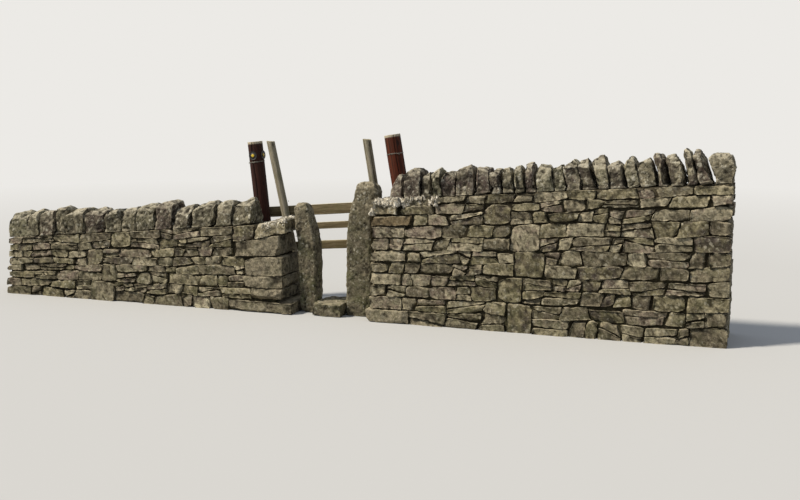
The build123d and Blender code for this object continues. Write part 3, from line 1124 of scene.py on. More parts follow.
@dataclass
class WallSide:
    """One side of the dry stone wall: where it stands, its courses and its stones.

    Args:
        side: Which side of the gap.
        node: The CAD node of the wall's mass.
        cap: The CAD node of the cap at its stile end.
        levels: Heights of the beds between courses, at the stile.
        big_stones: Nodes that take the place of face stones next to the stile.
        seed: Which random stones.
        top_width: The wall's thickness under the copes.
        batter: Height for each unit that a face leans back.
        bed_swing: How far a bed strays from its line.
        bed_waves: Share, and turns in 2 pi metres, of the waves in a bed.
        bed_straight: How far from the stile the beds run straight.
        bed_easing: How much further on they stray fully.
        joint: Width of a usual joint before wear opens it; below 0, the stones first overlap.
        joint_shares: The narrowest and the widest joint, as shares of the usual one.
        joint_slant: How far an upright joint leans at most.
        shortest: Length of the shortest stones.
        longest: Length of the longest stones.
        depths: How far the stones reach into the wall.
        set_back: How far a stone's face stands behind the wall's line at most.
        roughness: How far each of its front corners stands back further at most.
        taper: How much thinner than their middles the stones' ends are at most.
        split_share: How many places in a course hold two thin stones, one on the other.
        split_least: Height of the lowest place that does.
        split_middles: Where the bed between the two lies, as a share of the place.
        split_leans: How far that bed leans.
        jumper_lengths: Lengths of the stones that fill two courses.
        jumper_first: How far the first of them is from the start of its courses.
        jumper_gaps: How far each is from the one before.
        jumper_end: How far they keep from the end of their courses.
        long_corner: Length and depth of a corner stone that lies along the wall.
        short_corner: The same of one that lies across it.
        end_depth: How far the stones of a squared end reach into the wall.
        end_rough: How far those on a corner, and those between, stand back from the end.
        corner_set_back: How far those on a corner stand back from the wall's line at most.
        edge_radii: How far the stones' edges are rounded.
        spalls: How many spalls each stone has.
        spall_share: The deepest spall, as a share of the stone's height or length.
        deepest_spall: How deep a spall may be at all.
        cells: Size of a stone's cells, in full runs and in quick ones.
        cell_limits: The fewest cells each way, and the most along, through and up a stone.
        hearting_inset: How far the rubble core lies behind the faces.
        hearting_cells: Cells along, through and up it.
        hearting_wear: How it is worn.
        hearting_drop: How far its top lies below the beds of the copes.
        sunk: How far the lowest course reaches below the ground before it is cut level.
        wear: How the stones' skins are worn.
        finish: The stone.
    """

    side: Side
    node: str
    cap: str
    levels: tuple[float, ...]
    big_stones: tuple[str, ...]
    seed: int
    top_width: float = 0.400
    batter: float = 9.0
    bed_swing: float = 0.018
    bed_waves: tuple[Pair, ...] = ((0.5, 6.1), (0.4, 11.7), (0.35, 23.0))
    bed_straight: float = 0.25
    bed_easing: float = 0.3
    joint: float = -0.0075
    joint_shares: Pair = (0.1, 2.0)
    joint_slant: float = 0.025
    shortest: float = 0.10
    longest: float = 0.40
    depths: Pair = (0.10, 0.16)
    set_back: float = 0.012
    roughness: float = 0.018
    taper: float = 0.38
    split_share: float = 0.42
    split_least: float = 0.085
    split_middles: Pair = (0.36, 0.64)
    split_leans: tuple[float, ...] = (0.04, 0.1, 0.2)
    jumper_lengths: Pair = (0.16, 0.30)
    jumper_first: Pair = (0.4, 1.2)
    jumper_gaps: Pair = (1.0, 2.6)
    jumper_end: float = 0.35
    long_corner: Pair = (0.33, 0.15)
    short_corner: Pair = (0.19, 0.235)
    end_depth: float = 0.2
    end_rough: tuple[Pair, ...] = ((0.0, 0.012), (0.004, 0.014))
    corner_set_back: float = 0.01
    edge_radii: Pair = (0.003, 0.010)
    spalls: int = 8
    spall_share: float = 0.2
    deepest_spall: float = 0.02
    cells: Pair = (0.018, 0.045)
    cell_limits: tuple[int, tuple[int, int, int]] = (4, (18, 5, 9))
    hearting_inset: float = 0.042
    hearting_cells: tuple[int, int, int] = (70, 8, 12)
    hearting_wear: Wear = Wear(0.012, 0.07, 0.008, 0.03)
    hearting_drop: float = 2 * MM
    sunk: float = 0.02
    wear: Wear = Wear(0.014, 0.05, 0.006, 0.024)
    finish: FieldGritstone = WALLING

    def __post_init__(self) -> None:
        """Reads the wall's line from the frame, and starts the random source and the beds' waves."""
        corners = corners_of(self.node)
        on_top = corners[np.abs(corners[:, 1]) < self.top_width / 2 + 0.5 * MM]
        self.rise, level = np.polyfit(on_top[:, 0], on_top[:, 2], 1)
        self.head_x = (self.levels[-1] - level) / self.rise
        self.end_x = self.inner_x(self.node)
        self.courses = len(self.levels) - 1
        self.draw = np.random.default_rng(self.seed)
        self.phases = self.draw.uniform(0, 2 * math.pi, (len(self.levels), len(self.bed_waves)))
        boxes = {node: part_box(node) for node in self.big_stones}
        self.held = [(self.inner_x(node), low.z, high.z) for node, (low, high) in boxes.items()]
        corners = corners_of(self.cap)
        xs = corners[:, 0]
        ends = [corners[np.abs(xs - x) < MM] for x in (xs.min(), xs.max())]
        self.ledge_line = [(end[0, 0], end[:, 2].min()) for end in ends]

    def inner_x(self, node: str) -> float:
        """Where the side of a node that faces away from the gap is."""
        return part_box(node)[0 if self.side == Side.LEFT else 1].x

    def top(self, x: Places) -> Places:
        """Height of the top bed at x."""
        return self.levels[-1] + (x - self.head_x) * self.rise

    def half_width(self, x: Places, z: Places) -> Places:
        """Half the wall's thickness at a place and height."""
        return self.top_width / 2 + (self.top(x) - z) / self.batter

    def bed(self, number: int, x: float) -> float:
        """Height of a bed between courses, which strays a little away from the stile.

        Args:
            number: The bed, counted from the ground.
            x: The place along the wall.

        Returns:
            The height.
        """
        if number == 0:
            return -self.sunk
        even = self.top(x) * self.levels[number] / self.levels[-1]
        if number == self.courses:
            return even
        waves = zip(self.bed_waves, self.phases[number])
        stray = sum(share * math.sin(x * pace + phase) for (share, pace), phase in waves)
        easing = (abs(x - self.head_x) - self.bed_straight) / self.bed_easing
        return even + self.bed_swing * stray * min(max(easing, 0.0), 1.0)

    def ledge(self, x: float) -> float:
        """Height at x of the sloping bed that carries the cap, drawn on beyond the cap."""
        (x_low, z_low), (x_high, z_high) = self.ledge_line
        return z_low + (z_high - z_low) * (x - x_low) / (x_high - x_low)

    def big_stone_at(self, course: int) -> float | None:
        """Finds the big stone that takes a course's place at the stile.

        Args:
            course: The course, counted from the ground.

        Returns:
            Where the stone ends inside the wall, or None if there is no such stone.
        """
        middle = (self.levels[course] + self.levels[course + 1]) / 2
        for inner, low, high in self.held:
            if low < middle < high:
                return inner
        return None

    def corner_size(self, course: int, face: Face, end: End) -> Pair:
        """Size of a corner stone, long and short in turn from course to course.

        Args:
            course: The course, counted from the ground.
            face: Which face of the wall.
            end: Which end of the wall.

        Returns:
            Its length along the wall and its depth through it.
        """
        # The small steps keep stones that lie one above the other from being alike
        if (course + (face == Face.FIELD) + end) % 2:
            length, depth = self.long_corner
            return length + 0.02 * (course % 3), depth
        length, depth = self.short_corner
        return length + 0.015 * (course % 2), depth

    def add_block(self, pile: Pile, corners: np.ndarray) -> None:
        """Adds a worn block that fills eight corners.

        Args:
            pile: The pile to add to.
            corners: Places by left or right, outer or inner, and low or high.
        """
        edges = (
            corners[1] - corners[0],
            corners[:, 1] - corners[:, 0],
            corners[:, :, 1] - corners[:, :, 0],
        )
        size = np.array([np.linalg.norm(edge, axis=-1).mean() for edge in edges])
        cell = finer(*self.cells)
        fewest, limits = self.cell_limits
        counts = (int(np.clip(round(s / cell), fewest, most)) for s, most in zip(size, limits))
        grid, quads = skin_grid(*counts)
        worn = rounded(grid, size / 2, self.draw.uniform(*self.edge_radii))
        deepest = min(self.spall_share * min(size[0], size[2]), self.deepest_spall)
        worn = spalled(worn, self.draw, self.spalls, deepest)
        # Most stones thin out towards an end, but almost half of the ends keep their height
        thinner = self.draw.uniform(-0.8, 1.0, 2).clip(0) * self.taper
        outward = worn[:, 0] / size[0] * 2
        worn[:, 2] *= 1 - np.where(outward < 0, *thinner) * np.abs(outward) ** 3
        share = worn / size + 0.5
        points = np.zeros_like(worn)
        for corner in np.ndindex(2, 2, 2):
            weight = np.prod(np.where(corner, share, 1 - share), axis=1)
            points += weight[:, None] * corners[corner]
        axes = np.array([edge.reshape(-1, 3).mean(0) for edge in edges])
        turned = quads if np.linalg.det(axes) > 0 else quads[:, ::-1]
        pile.add(points, turned, float(self.draw.uniform()))

    def lay_stone(
        self, pile: Pile, xs: np.ndarray, zs: np.ndarray, face: Face, depth: float, set_back: float
    ) -> None:
        """Adds one stone to a face.

        Args:
            pile: The pile to add to.
            xs: The corners' places along the wall, by left or right and low or high.
            zs: Their heights, in the same order.
            face: Which face of the wall.
            depth: How far the stone reaches into the wall.
            set_back: How far its face lies behind the wall's line.
        """
        corners = np.zeros((2, 2, 2, 3))
        for across, up in np.ndindex(2, 2):
            x, z = xs[across, up], zs[across, up]
            half = self.half_width(x, z)
            outer = half - set_back - self.draw.uniform(0.0, self.roughness)
            corners[across, 0, up] = (x, face * outer, z)
            corners[across, 1, up] = (x, face * (half - depth), z)
        self.add_block(pile, corners)

    def layers(self, tall: float) -> Sequence[Pair]:
        """Chooses whether a place in a course holds one stone or two.

        Args:
            tall: Height of the place.

        Returns:
            Heights of the stones' beds at its left and right, as shares from the foot to the head.
        """
        if tall < self.split_least or self.draw.uniform() > self.split_share:
            return ONE_STONE
        middle = self.draw.uniform(*self.split_middles)
        lean = self.draw.choice(self.split_leans) * self.draw.choice((-1, 1))
        return ONE_STONE[0], (middle + lean, middle - lean), ONE_STONE[1]

    def fill(
        self,
        pile: Pile,
        beds: tuple[Bed, Bed],
        start: float,
        stop: float,
        face: Face,
        whole: bool = False,
    ) -> None:
        """Fills a stretch between two beds with stones.

        Args:
            pile: The pile to add to.
            beds: Give the heights of the bed below and of the bed above.
            start: The stretch's left end.
            stop: Its right end.
            face: Which face of the wall.
            whole: True for a single stone.
        """
        if stop - start < 0.5 * self.shortest:
            return
        low, high = beds
        places = [start, stop]
        if not whole:
            lengths = [self.draw.uniform(self.shortest, self.longest)]
            while sum(lengths) < stop - start - self.shortest:
                lengths.append(self.draw.uniform(self.shortest, self.longest))
            places = list(start + np.cumsum([0.0, *lengths]) * (stop - start) / sum(lengths))
        slants = self.draw.uniform(-self.joint_slant, self.joint_slant, len(places))
        slants[0] = slants[-1] = 0.0
        for index in range(len(places) - 1):
            ends = np.array(places[index : index + 2])
            shares = ONE_STONE if whole else self.layers(high(ends.mean()) - low(ends.mean()))
            for under, over in zip(shares[:-1], shares[1:]):
                xs, zs = np.zeros((2, 2)), np.zeros((2, 2))
                for across, up in np.ndindex(2, 2):
                    x, share = ends[across], (under, over)[up][across]
                    gap, loose = self.joint / 2 * self.draw.uniform(*self.joint_shares, 2)
                    xs[across, up] = x + slants[index + across] * (2 * share - 1) + (gap, -gap)[across]
                    zs[across, up] = low(x) + (high(x) - low(x)) * share + (loose, -loose)[up]
                depth = self.draw.uniform(*self.depths)
                self.lay_stone(pile, xs, zs, face, depth, self.draw.uniform(0.0, self.set_back))

    def stretch(self, course: int, face: Face) -> list[float]:
        """Where the stones of a course's face begin and end, between its corner stones.

        Args:
            course: The course, counted from the ground.
            face: Which face of the wall.

        Returns:
            The left and the right end.
        """
        inner = self.big_stone_at(course)
        if inner is None:
            inner = self.head_x + self.side * self.corner_size(course, face, End.STILE)[0]
        return sorted((inner, self.end_x - self.side * self.corner_size(course, face, End.FAR)[0]))

    def jumpers(self, ranges: dict[int, list[float]]) -> list[Pair]:
        """Chooses where stones fill a pair of courses.

        Args:
            ranges: The left and the right end of each course of the pair.

        Returns:
            The left and the right end of each such stone.
        """
        chosen = []
        last = min(stop for _, stop in ranges.values()) - self.jumper_end
        place = max(start for start, _ in ranges.values()) + self.draw.uniform(*self.jumper_first)
        while place < last and len(ranges) == 2:
            stop = place + self.draw.uniform(*self.jumper_lengths)
            chosen.append((place, stop))
            place = stop + self.draw.uniform(*self.jumper_gaps)
        return chosen

    def face_stones(self, face: Face) -> Pile:
        """Lays all the stones of one face, in pairs of courses with some stones through both.

        Args:
            face: Which face of the wall.

        Returns:
            The pile of stones.
        """
        pile = Pile()
        beds = [partial(self.bed, number) for number in range(self.courses + 1)]
        uppermost = self.courses - 1
        for lower in range(0, self.courses, 2):
            pair = range(lower, min(lower + 2, self.courses))
            ranges = {course: self.stretch(course, face) for course in pair}
            if self.side == Side.LEFT and uppermost in pair:
                # The top course steps down here to the sloping bed of the stone under the cap
                step, stop = ranges[uppermost - 1][1], ranges[uppermost][1]
                ranges[uppermost][1] = step
                self.fill(pile, (self.ledge, beds[-1]), step, stop, face)
            jumpers = self.jumpers(ranges)
            for start, stop in jumpers:
                self.fill(pile, (beds[lower], beds[lower + 2]), start, stop, face, True)
            for course, (at, stop) in ranges.items():
                for first, past in [*jumpers, (stop, stop)]:
                    self.fill(pile, (beds[course], beds[course + 1]), at, first, face)
                    at = past
        return pile

    def end_stones(self, end: End) -> Pile:
        """Lays the stones of a squared wall end: a corner stone on each face and one between them.

        Args:
            end: Which end of the wall.

        Returns:
            The pile of stones.
        """
        pile = Pile()
        plane, inward = (self.head_x, self.side) if end == End.STILE else (self.end_x, -self.side)
        gap = self.joint / 2
        for course in range(self.courses):
            if end == End.STILE and self.big_stone_at(course) is not None:
                continue
            inner_faces = []
            corner_rough, middle_rough = self.end_rough
            for face in Face:
                length, depth = self.corner_size(course, face, end)
                reach = (self.draw.uniform(*corner_rough), length - gap)
                ends = sorted(plane + inward * far for far in reach)
                xs = np.array([[x, x] for x in ends])
                zs = np.array([[self.bed(course, x) + gap, self.bed(course + 1, x) - gap] for x in ends])
                self.lay_stone(pile, xs, zs, face, depth, self.draw.uniform(0.0, self.corner_set_back))
                inner_faces.append(depth + gap)
            reach = (self.draw.uniform(*middle_rough), self.end_depth)
            ends = sorted(plane + inward * far for far in reach)
            corners = np.zeros((2, 2, 2, 3))
            for across, up in np.ndindex(2, 2):
                x = ends[across]
                z = self.bed(course + up, x) + (gap, -gap)[up]
                half = self.half_width(x, z)
                corners[across, 0, up] = (x, inner_faces[0] - half, z)
                corners[across, 1, up] = (x, half - inner_faces[1], z)
            self.add_block(pile, corners)
        return pile

    def hearting(self) -> Piece:
        """The dark rubble between the two faces, which shows only through the joints; its dark colour is
        dirt and painted shade.

        Returns:
            The piece.
        """
        grid, quads = skin_grid(*self.hearting_cells)
        share = (grid + 1) / 2
        # On the left it ends further in, because only the squared stones stand before it there
        stile_inset = self.hearting_inset * (2 if self.side == Side.LEFT else 1)
        stile_end = self.head_x + self.side * stile_inset
        ends = sorted((stile_end, self.end_x - self.side * self.hearting_inset))
        xs = ends[0] + (ends[1] - ends[0]) * share[:, 0]
        tops = self.top(xs)
        zs = tops * share[:, 2]
        halves = self.half_width(xs, zs) - self.hearting_inset
        pile = Pile()
        pile.add(np.stack([xs, grid[:, 1] * halves, zs], axis=1), quads, 0.5)
        points, pits = pile.worn(self.hearting_wear, self.seed)
        on_top = zs > tops - MM
        points[on_top, 2] = zs[on_top] - self.hearting_drop
        return self.grounded(pile, points, pits, "hearting", HEARTING)

    def grounded(
        self, pile: Pile, points: np.ndarray, pits: np.ndarray, name: str, finish: FieldGritstone
    ) -> Piece:
        """Cuts a worn pile level with the ground and makes the piece of this name of it."""
        points[:, 2] = np.maximum(points[:, 2], 0.0)
        return settle(pile.piece(f"{self.node}_{name}", points, pits), finish, Slot.WALL, self.node)

    def build(self) -> list[Piece]:
        """Makes the pieces of this side of the wall.

        Returns:
            The pieces.
        """
        piles = {
            "path_face": self.face_stones(Face.PATH),
            "field_face": self.face_stones(Face.FIELD),
            "far_end": self.end_stones(End.FAR),
        }
        if self.side == Side.RIGHT:
            piles["stile_end"] = self.end_stones(End.STILE)
        pieces = []
        for number, (name, pile) in enumerate(piles.items()):
            points, pits = pile.worn(self.wear, self.seed + number)
            pieces.append(self.grounded(pile, points, pits, name, self.finish))
        return [*pieces, self.hearting()]


@dataclass
class ShapedStone:
    """A node of large stones, each remeshed, spalled and worn, and kept at its own size.

    Args:
        node: The CAD node that it stands for.
        finish: The stone.
        slot: The record's material slot.
        seed: Which random shape.
        voxel: Size of the new quads.
        cuts: How many spalls each stone has.
        deepest: The deepest spall.
        wear: How its skin is worn.
        seat: Height over which the shape stays squarer above the bed that it sits on.
    """

    node: str
    finish: FieldGritstone
    slot: Slot
    seed: int
    voxel: float = 0.012
    cuts: int = 8
    deepest: float = 0.032
    wear: Wear = Wear(0.013, 0.14, 0.007, 0.035)
    seat: float = 0.0
    coarser: float = 1.8

    def build(self) -> list[Piece]:
        """Makes the piece.

        Returns:
            The one piece.
        """
        draw = np.random.default_rng(self.seed)
        pile, sound = Pile(), []
        voxel = self.voxel * finer(1.0, self.coarser)
        for points, faces in solids_of(self.node):
            skin, quads = remeshed(points, faces, voxel)
            sound.append(skin)
            pile.add(spalled(skin, draw, self.cuts, self.deepest), quads, float(draw.uniform()))
        worn, pits = pile.worn(self.wear, self.seed)
        worn = without_spikes(worn, np.concatenate(pile.quads))
        start = 0
        for whole in sound:
            stop = start + len(whole)
            worn[start:stop] = self.full_size(worn[start:stop], whole)
            start = stop
        return [settle(pile.piece(f"{self.node}_worn", worn, pits), self.finish, self.slot, self.node)]

    def full_size(self, worn: np.ndarray, whole: np.ndarray) -> np.ndarray:
        """Stretches a worn stone to its size before the wear, and squares it above its bed.

        Args:
            worn: Its worn points.
            whole: The same points before the wear.

        Returns:
            The points.
        """
        low, high = whole.min(0), whole.max(0)
        own = low + (worn - worn.min(0)) / (worn.max(0) - worn.min(0)) * (high - low)
        if not self.seat:
            return own
        free = np.clip((whole[:, 2:] - low[2]) / self.seat, 0, 1)
        return whole + free * (own - whole)


@dataclass
class CapLichen:
    """Ragged flakes of thick pale lichen, which grow on the top of a cap and along its front edge.

    Args:
        name: The piece's name.
        grounds: Names of the pieces that it grows on.
        stretch: Where along the wall the flakes begin and end.
        copes: Where the copes begin, beside which only the front edge is free.
        count: How many flakes there are.
        smallest: Length, thickness and height of the smallest flakes.
        largest: The same of the largest.
        reach: How far down from the top most of them grow.
        front: Where through the wall the front edge ends.
        flat_from: Where through the wall flakes begin to lie flat.
        back: Where through the wall the lichen ends.
        slot_width: Length of the slots along the wall, which all have as many flakes by chance.
        top_share: How many grow on the top for each one on the edge.
        thinning: How many fewer grow at the end of the stretch, as a share.
        cope_clearance: How far from the copes those on the top keep.
        flat: Scale of the flakes that lie flat on the top.
        turns: How far they are turned about each axis, at least and at most.
        slope: How much thinner their tips are than their feet.
        wear: How they are worn.
        seed: Which random flakes.
    """

    name: str
    grounds: tuple[str, ...]
    stretch: Pair
    copes: float
    count: int
    smallest: Triple = (0.018, 0.010, 0.014)
    largest: Triple = (0.080, 0.034, 0.064)
    reach: float = 0.022
    front: float = -0.165
    flat_from: float = -0.15
    back: float = 0.12
    slot_width: float = 0.03
    top_share: float = 0.25
    thinning: float = 0.6
    cope_clearance: float = 0.03
    flat: Triple = (1.2, 1.8, 0.4)
    turns: tuple[tuple[float, ...], ...] = ((-0.5, -0.6, 0.0), (0.3, 0.6, math.pi))
    slope: float = 0.5
    wear: Wear = Wear(0.004, 0.03, 0.003, 0.010)
    seed: int = 61

    def places(self) -> tuple[np.ndarray, np.ndarray]:
        """Finds where flakes can grow.

        Returns:
            Places on the stones, and the chance of each.
        """
        found = []
        for name in self.grounds:
            vertices = bpy.data.objects[name].data.vertices
            own = np.zeros(3 * len(vertices))
            vertices.foreach_get("co", own)
            found.append(own.reshape(-1, 3))
        points = np.concatenate(found)
        first, last = self.stretch
        points = points[(points[:, 0] > first) & (points[:, 0] < last) & (points[:, 1] < self.back)]
        slots = ((points[:, 0] - first) / self.slot_width).astype(int)
        tops = np.full(slots.max() + 1, -np.inf)
        np.maximum.at(tops, slots, points[:, 2])
        below = tops[slots] - points[:, 2]
        on_edge = points[:, 1] < self.front
        chance = np.exp(-below / self.reach) * np.where(on_edge, 1.0, self.top_share)
        clear = on_edge | (points[:, 0] < self.copes - self.cope_clearance)
        chance *= (below < 3 * self.reach) & clear
        in_slot = np.bincount(slots, chance)[slots]
        chance = np.divide(chance, in_slot, out=np.zeros_like(chance), where=in_slot > 0)
        chance *= 1 - self.thinning * (points[:, 0] - first) / (last - first)
        return points, chance / chance.sum()

    def build(self) -> list[Piece]:
        """Makes the piece.

        Returns:
            The one piece.
        """
        draw = np.random.default_rng(self.seed)
        points, chance = self.places()
        grid, quads = skin_grid(4, 3, 4)
        taper = 1 - self.slope * (grid[:, 2:] + 1) / 2
        taper = np.hstack([taper, taper, np.ones_like(taper)])
        pile = Pile()
        for place in points[draw.choice(len(points), self.count, False, chance)]:
            size = draw.uniform(self.smallest, self.largest) / 2
            if place[1] > self.flat_from:
                size *= self.flat
            flake = rounded(grid, size, 0.7 * float(size.min())) * taper
            spin = Euler(draw.uniform(*self.turns))
            pile.add(flake @ np.array(spin.to_matrix()).T + place, quads, float(draw.uniform()))
        worn, pits = pile.worn(self.wear, self.seed)
        return [settle(pile.piece(self.name, worn, pits), CRUST, Slot.CAP)]


# Timber


@dataclass
class RoundTimber:
    """A leaning round post or pole with drying checks and a sawn top.

    Args:
        node: The CAD node that it stands for.
        finish: The timber.
        slot: The record's material slot.
        top_slope_deg: Slope of the sawn top.
        checks: How many deep drying checks it has.
        seed: Which random shape.
        pale_rim: How far down from the top the side is bleached like the cut end.
        brim: How far down from the top its edge is worn.
        brim_scale: Size of the worn edge, as a share of the radius.
        foot_scales: The same of the rings that close the foot.
        top_scales: The same of the rings that close the top.
        side_rings: How many rings the side has, in full runs and in quick ones.
        spacings: Distance between points round it, in both.
        check_starts: Where up the timber the checks begin, as shares of its length.
        check_depths: How deep they are, as shares of its thickness.
        check_reach: How far to each side a check opens.
        check_easing: Over what share of the length it opens.
        check_waves: How far it strays round the timber, and its waves in 2 pi lengths.
        grain: How far the wear of the side follows the grain, as scales of the noise.
        wear: Depth and wavelength of that wear.
        top_wear: The same of the sawn top.
    """

    node: str
    finish: OutdoorTimber
    slot: Slot
    top_slope_deg: float
    checks: int
    seed: int
    pale_rim: float = 6 * MM
    brim: float = 5 * MM
    brim_scale: float = 0.985
    foot_scales: tuple[float, ...] = (0.05, 0.5, 0.96)
    top_scales: tuple[float, ...] = (0.955, 0.88, 0.75, 0.6, 0.45, 0.3, 0.15, 0.04)
    side_rings: tuple[int, int] = (84, 30)
    spacings: Pair = (4.0 * MM, 8.0 * MM)
    check_starts: Pair = (0.2, 0.75)
    check_depths: Pair = (0.04, 0.09)
    check_reach: float = 5 * MM
    check_easing: float = 0.2
    check_waves: tuple[Pair, ...] = ((0.10, 7.0), (0.04, 19.0))
    grain: Triple = (1.0, 1.0, 0.12)
    wear: Pair = (3.5 * MM, 0.045)
    top_wear: Pair = (5 * MM, 0.02)

    def __post_init__(self) -> None:
        """Reads the axis and the size from the CAD node."""
        corners = corners_of(self.node)
        on_ground = corners[:, 2] < MM
        self.foot = corners[on_ground].mean(0)
        self.foot[2] = 0.0
        self.along = corners[~on_ground].mean(0) - self.foot
        self.along /= np.linalg.norm(self.along)
        self.across = np.cross(THROUGH_WALL, self.along)
        own = corners - self.foot
        reach = own - (own @ self.along)[:, None] * self.along
        self.radius = float(np.linalg.norm(reach, axis=1).max())
        self.top_slope = math.tan(math.radians(self.top_slope_deg))
        upper = own[~on_ground]
        self.length = float((upper @ self.along + upper @ self.across * self.top_slope).max())

    def world(self, local: np.ndarray) -> np.ndarray:
        """Turns places on the timber's own axes to the frame's, none of them under the ground.

        Args:
            local: Places across, through and along the timber.

        Returns:
            The same places in the frame.
        """
        places = self.foot + local @ np.stack([self.across, THROUGH_WALL, self.along])
        places[:, 2] = np.maximum(places[:, 2], 0.0)
        return places

    def grooves(self, turn: np.ndarray, share: float, checks: np.ndarray) -> np.ndarray:
        """Depth of the drying checks round the timber.

        Args:
            turn: Angles round the timber.
            share: Height as a share of the length.
            checks: Angle, lowest share and depth of each check.

        Returns:
            A depth for each angle.
        """
        depth = np.zeros(len(turn))
        (sway, slow), (shake, fast) = self.check_waves
        for start, low, deep in checks:
            middle = start + sway * math.sin(slow * share + start) + shake * math.sin(fast * share)
            away = np.abs((turn - middle + math.pi) % (2 * math.pi) - math.pi) * self.radius
            opening = min(max((share - low) / self.check_easing, 0.0), 1.0)
            depth += deep * opening * np.clip(1 - away / self.check_reach, 0, 1) ** 0.8
        return depth

    def outline(self) -> list[Triple]:
        """Lists the rings of points from the foot to the top.

        Returns:
            Size as a share of the radius, height as a share of the length, and how far it is cut end.
        """
        brim = self.brim / self.length
        pale = max(self.pale_rim / self.length, 2 * brim)
        side = np.linspace(0, 1 - 1.2 * pale, int(finer(*self.side_rings)))
        return [
            *((scale, 0.0, 1.0) for scale in self.foot_scales),
            *((1.0, share, 0.0) for share in side),
            (1.0, 1 - pale, 0.3),
            (1.0, 1 - 0.8 * pale, 0.8),
            (1.0, 1 - brim, 0.85),
            (self.brim_scale, 1 - 0.3 * brim, 0.88),
            *((scale, 1.0, 1.0) for scale in self.top_scales),
        ]

    def build(self) -> list[Piece]:
        """Makes the piece.

        Returns:
            The one piece.
        """
        draw = np.random.default_rng(self.seed)
        around = int(2 * math.pi * self.radius / finer(*self.spacings))
        turn = np.linspace(0, 2 * math.pi, around, endpoint=False)
        checks = np.stack(
            [
                draw.uniform(0, 2 * math.pi, self.checks),
                draw.uniform(*self.check_starts, self.checks),
                draw.uniform(*self.check_depths, self.checks) * 2 * self.radius,
            ],
            axis=1,
        )
        foot_slope = self.across[2] / self.along[2]
        rings, ends, pits = [], [], []
        for scale, share, end in self.outline():
            checked = self.grooves(turn, share, checks) * min(1.0, scale * scale)
            reach = self.radius * scale - checked
            x, y = reach * np.cos(turn), reach * np.sin(turn)
            z = -x * foot_slope * (1 - share) + (self.length - x * self.top_slope) * share
            rings.append(np.stack([x, y, z], axis=1))
            ends.append(np.full(around, end))
            pits.append(np.clip(checked / (0.05 * self.radius), 0, 1))
        local, ends, pits = np.concatenate(rings), np.concatenate(ends), np.concatenate(pits)
        outward = local * (1.0, 1.0, 0.0)
        outward /= np.maximum(np.linalg.norm(outward, axis=1, keepdims=True), 1e-6)
        # The side is worn up to the cut ends, and then the sawn top from above
        deepest, wavelength = self.wear
        worn = fractal_noise(local * self.grain + self.seed, wavelength, self.seed, 3)
        local -= outward * (worn * deepest * (ends < 0.9))[:, None]
        on_top = (ends > 0.6) & (local[:, 2] > self.length / 2)
        deepest, wavelength = self.top_wear
        worn = fractal_noise(local + self.seed, wavelength, self.seed + 3)
        local[:, 2] -= np.where(on_top, worn * deepest, 0.0)
        faces = ring_faces(len(rings), around)
        values = {"end": ends, "pit": pits}
        piece = mesh_object(f"{self.node}_timber", self.world(local), faces, values, local)
        return [settle(piece, self.finish, self.slot, self.node)]


@dataclass
class SawnRail:
    """A sawn rail with worn arrises, a slight warp and split ends.

    Args:
        node: The CAD node that it stands for.
        seed: Which random shape.
        arris: How far its edges are rounded.
        cells_along: Cells along it, in full runs and in quick ones.
        cells_round: Cells through it and up it.
        grain: How far the wear follows the grain, as scales of the noise.
        streaks: Depth and wavelength of the wear along the grain.
        dents: The same of the dents.
        splits: The same of the splits.
        split_from: The least noise that makes a split.
        split_reach: How far from the ends the splits reach.
        split_grain: How much further they follow the grain.
        cut_end: How far from its ends the cut wood begins to show, and over what length.
        heart: How far from its middle the heart of the tree was, in thicknesses and depths.
    """

    node: str
    seed: int
    arris: float = 4 * MM
    cells_along: tuple[int, int] = (170, 60)
    cells_round: tuple[int, int] = (6, 12)
    grain: Triple = (0.08, 1.0, 1.0)
    streaks: Pair = (1.6 * MM, 0.022)
    dents: Pair = (1.6 * MM, 0.11)
    splits: Pair = (2.5 * MM, 0.017)
    split_from: float = 0.68
    split_reach: float = 0.12
    split_grain: Triple = (0.2, 1.0, 1.0)
    cut_end: Pair = (9 * MM, 5 * MM)
    heart: Pair = (1.0, -0.8)

    def build(self) -> list[Piece]:
        """Makes the piece.

        Returns:
            The one piece.
        """
        corners = corners_of(self.node)
        middle = corners[:, 0].mean()
        left, right = corners[corners[:, 0] < middle], corners[corners[:, 0] > middle]
        _, thick, depth = np.ptp(left, axis=0)
        start, stop = left.mean(0), right.mean(0)
        length = float(np.linalg.norm(stop - start))
        along = (stop - start) / length
        axes = np.stack([along, THROUGH_WALL, np.cross(along, THROUGH_WALL)])
        size = np.array((length, thick, depth)) / 2
        grid, quads = skin_grid(int(finer(*self.cells_along)), *self.cells_round)
        local = rounded(grid, size, self.arris)
        normals = vertex_normals(local, quads)
        stretched = local * self.grain + self.seed
        streaks = fractal_noise(stretched, self.streaks[1], self.seed, 3)
        dents = fractal_noise(local + self.seed, self.dents[1], self.seed + 3)
        from_end = size[0] - np.abs(local[:, 0])
        cracks = fractal_noise(stretched * self.split_grain, self.splits[1], self.seed + 9)
        splits = (cracks > self.split_from) * np.clip(1 - from_end / self.split_reach, 0, 1)
        worn = self.streaks[0] * streaks + self.dents[0] * dents + self.splits[0] * splits
        local = local - normals * worn[:, None]
        shows, easing = self.cut_end
        ends = np.clip((np.abs(local[:, 0]) - size[0] + shows) / easing, 0, 1)
        grain = local[:, [1, 2, 0]] + (self.heart[0] * thick, self.heart[1] * depth, self.seed)
        values = {"end": ends, "pit": np.clip(0.55 * streaks + splits, 0, 1)}
        places = (start + stop) / 2 + local @ axes
        piece = mesh_object(f"{self.node}_timber", places, quads.tolist(), values, grain)
        return [settle(piece, RAIL_TIMBER, Slot.RAIL, self.node)]


# Metal and plastic


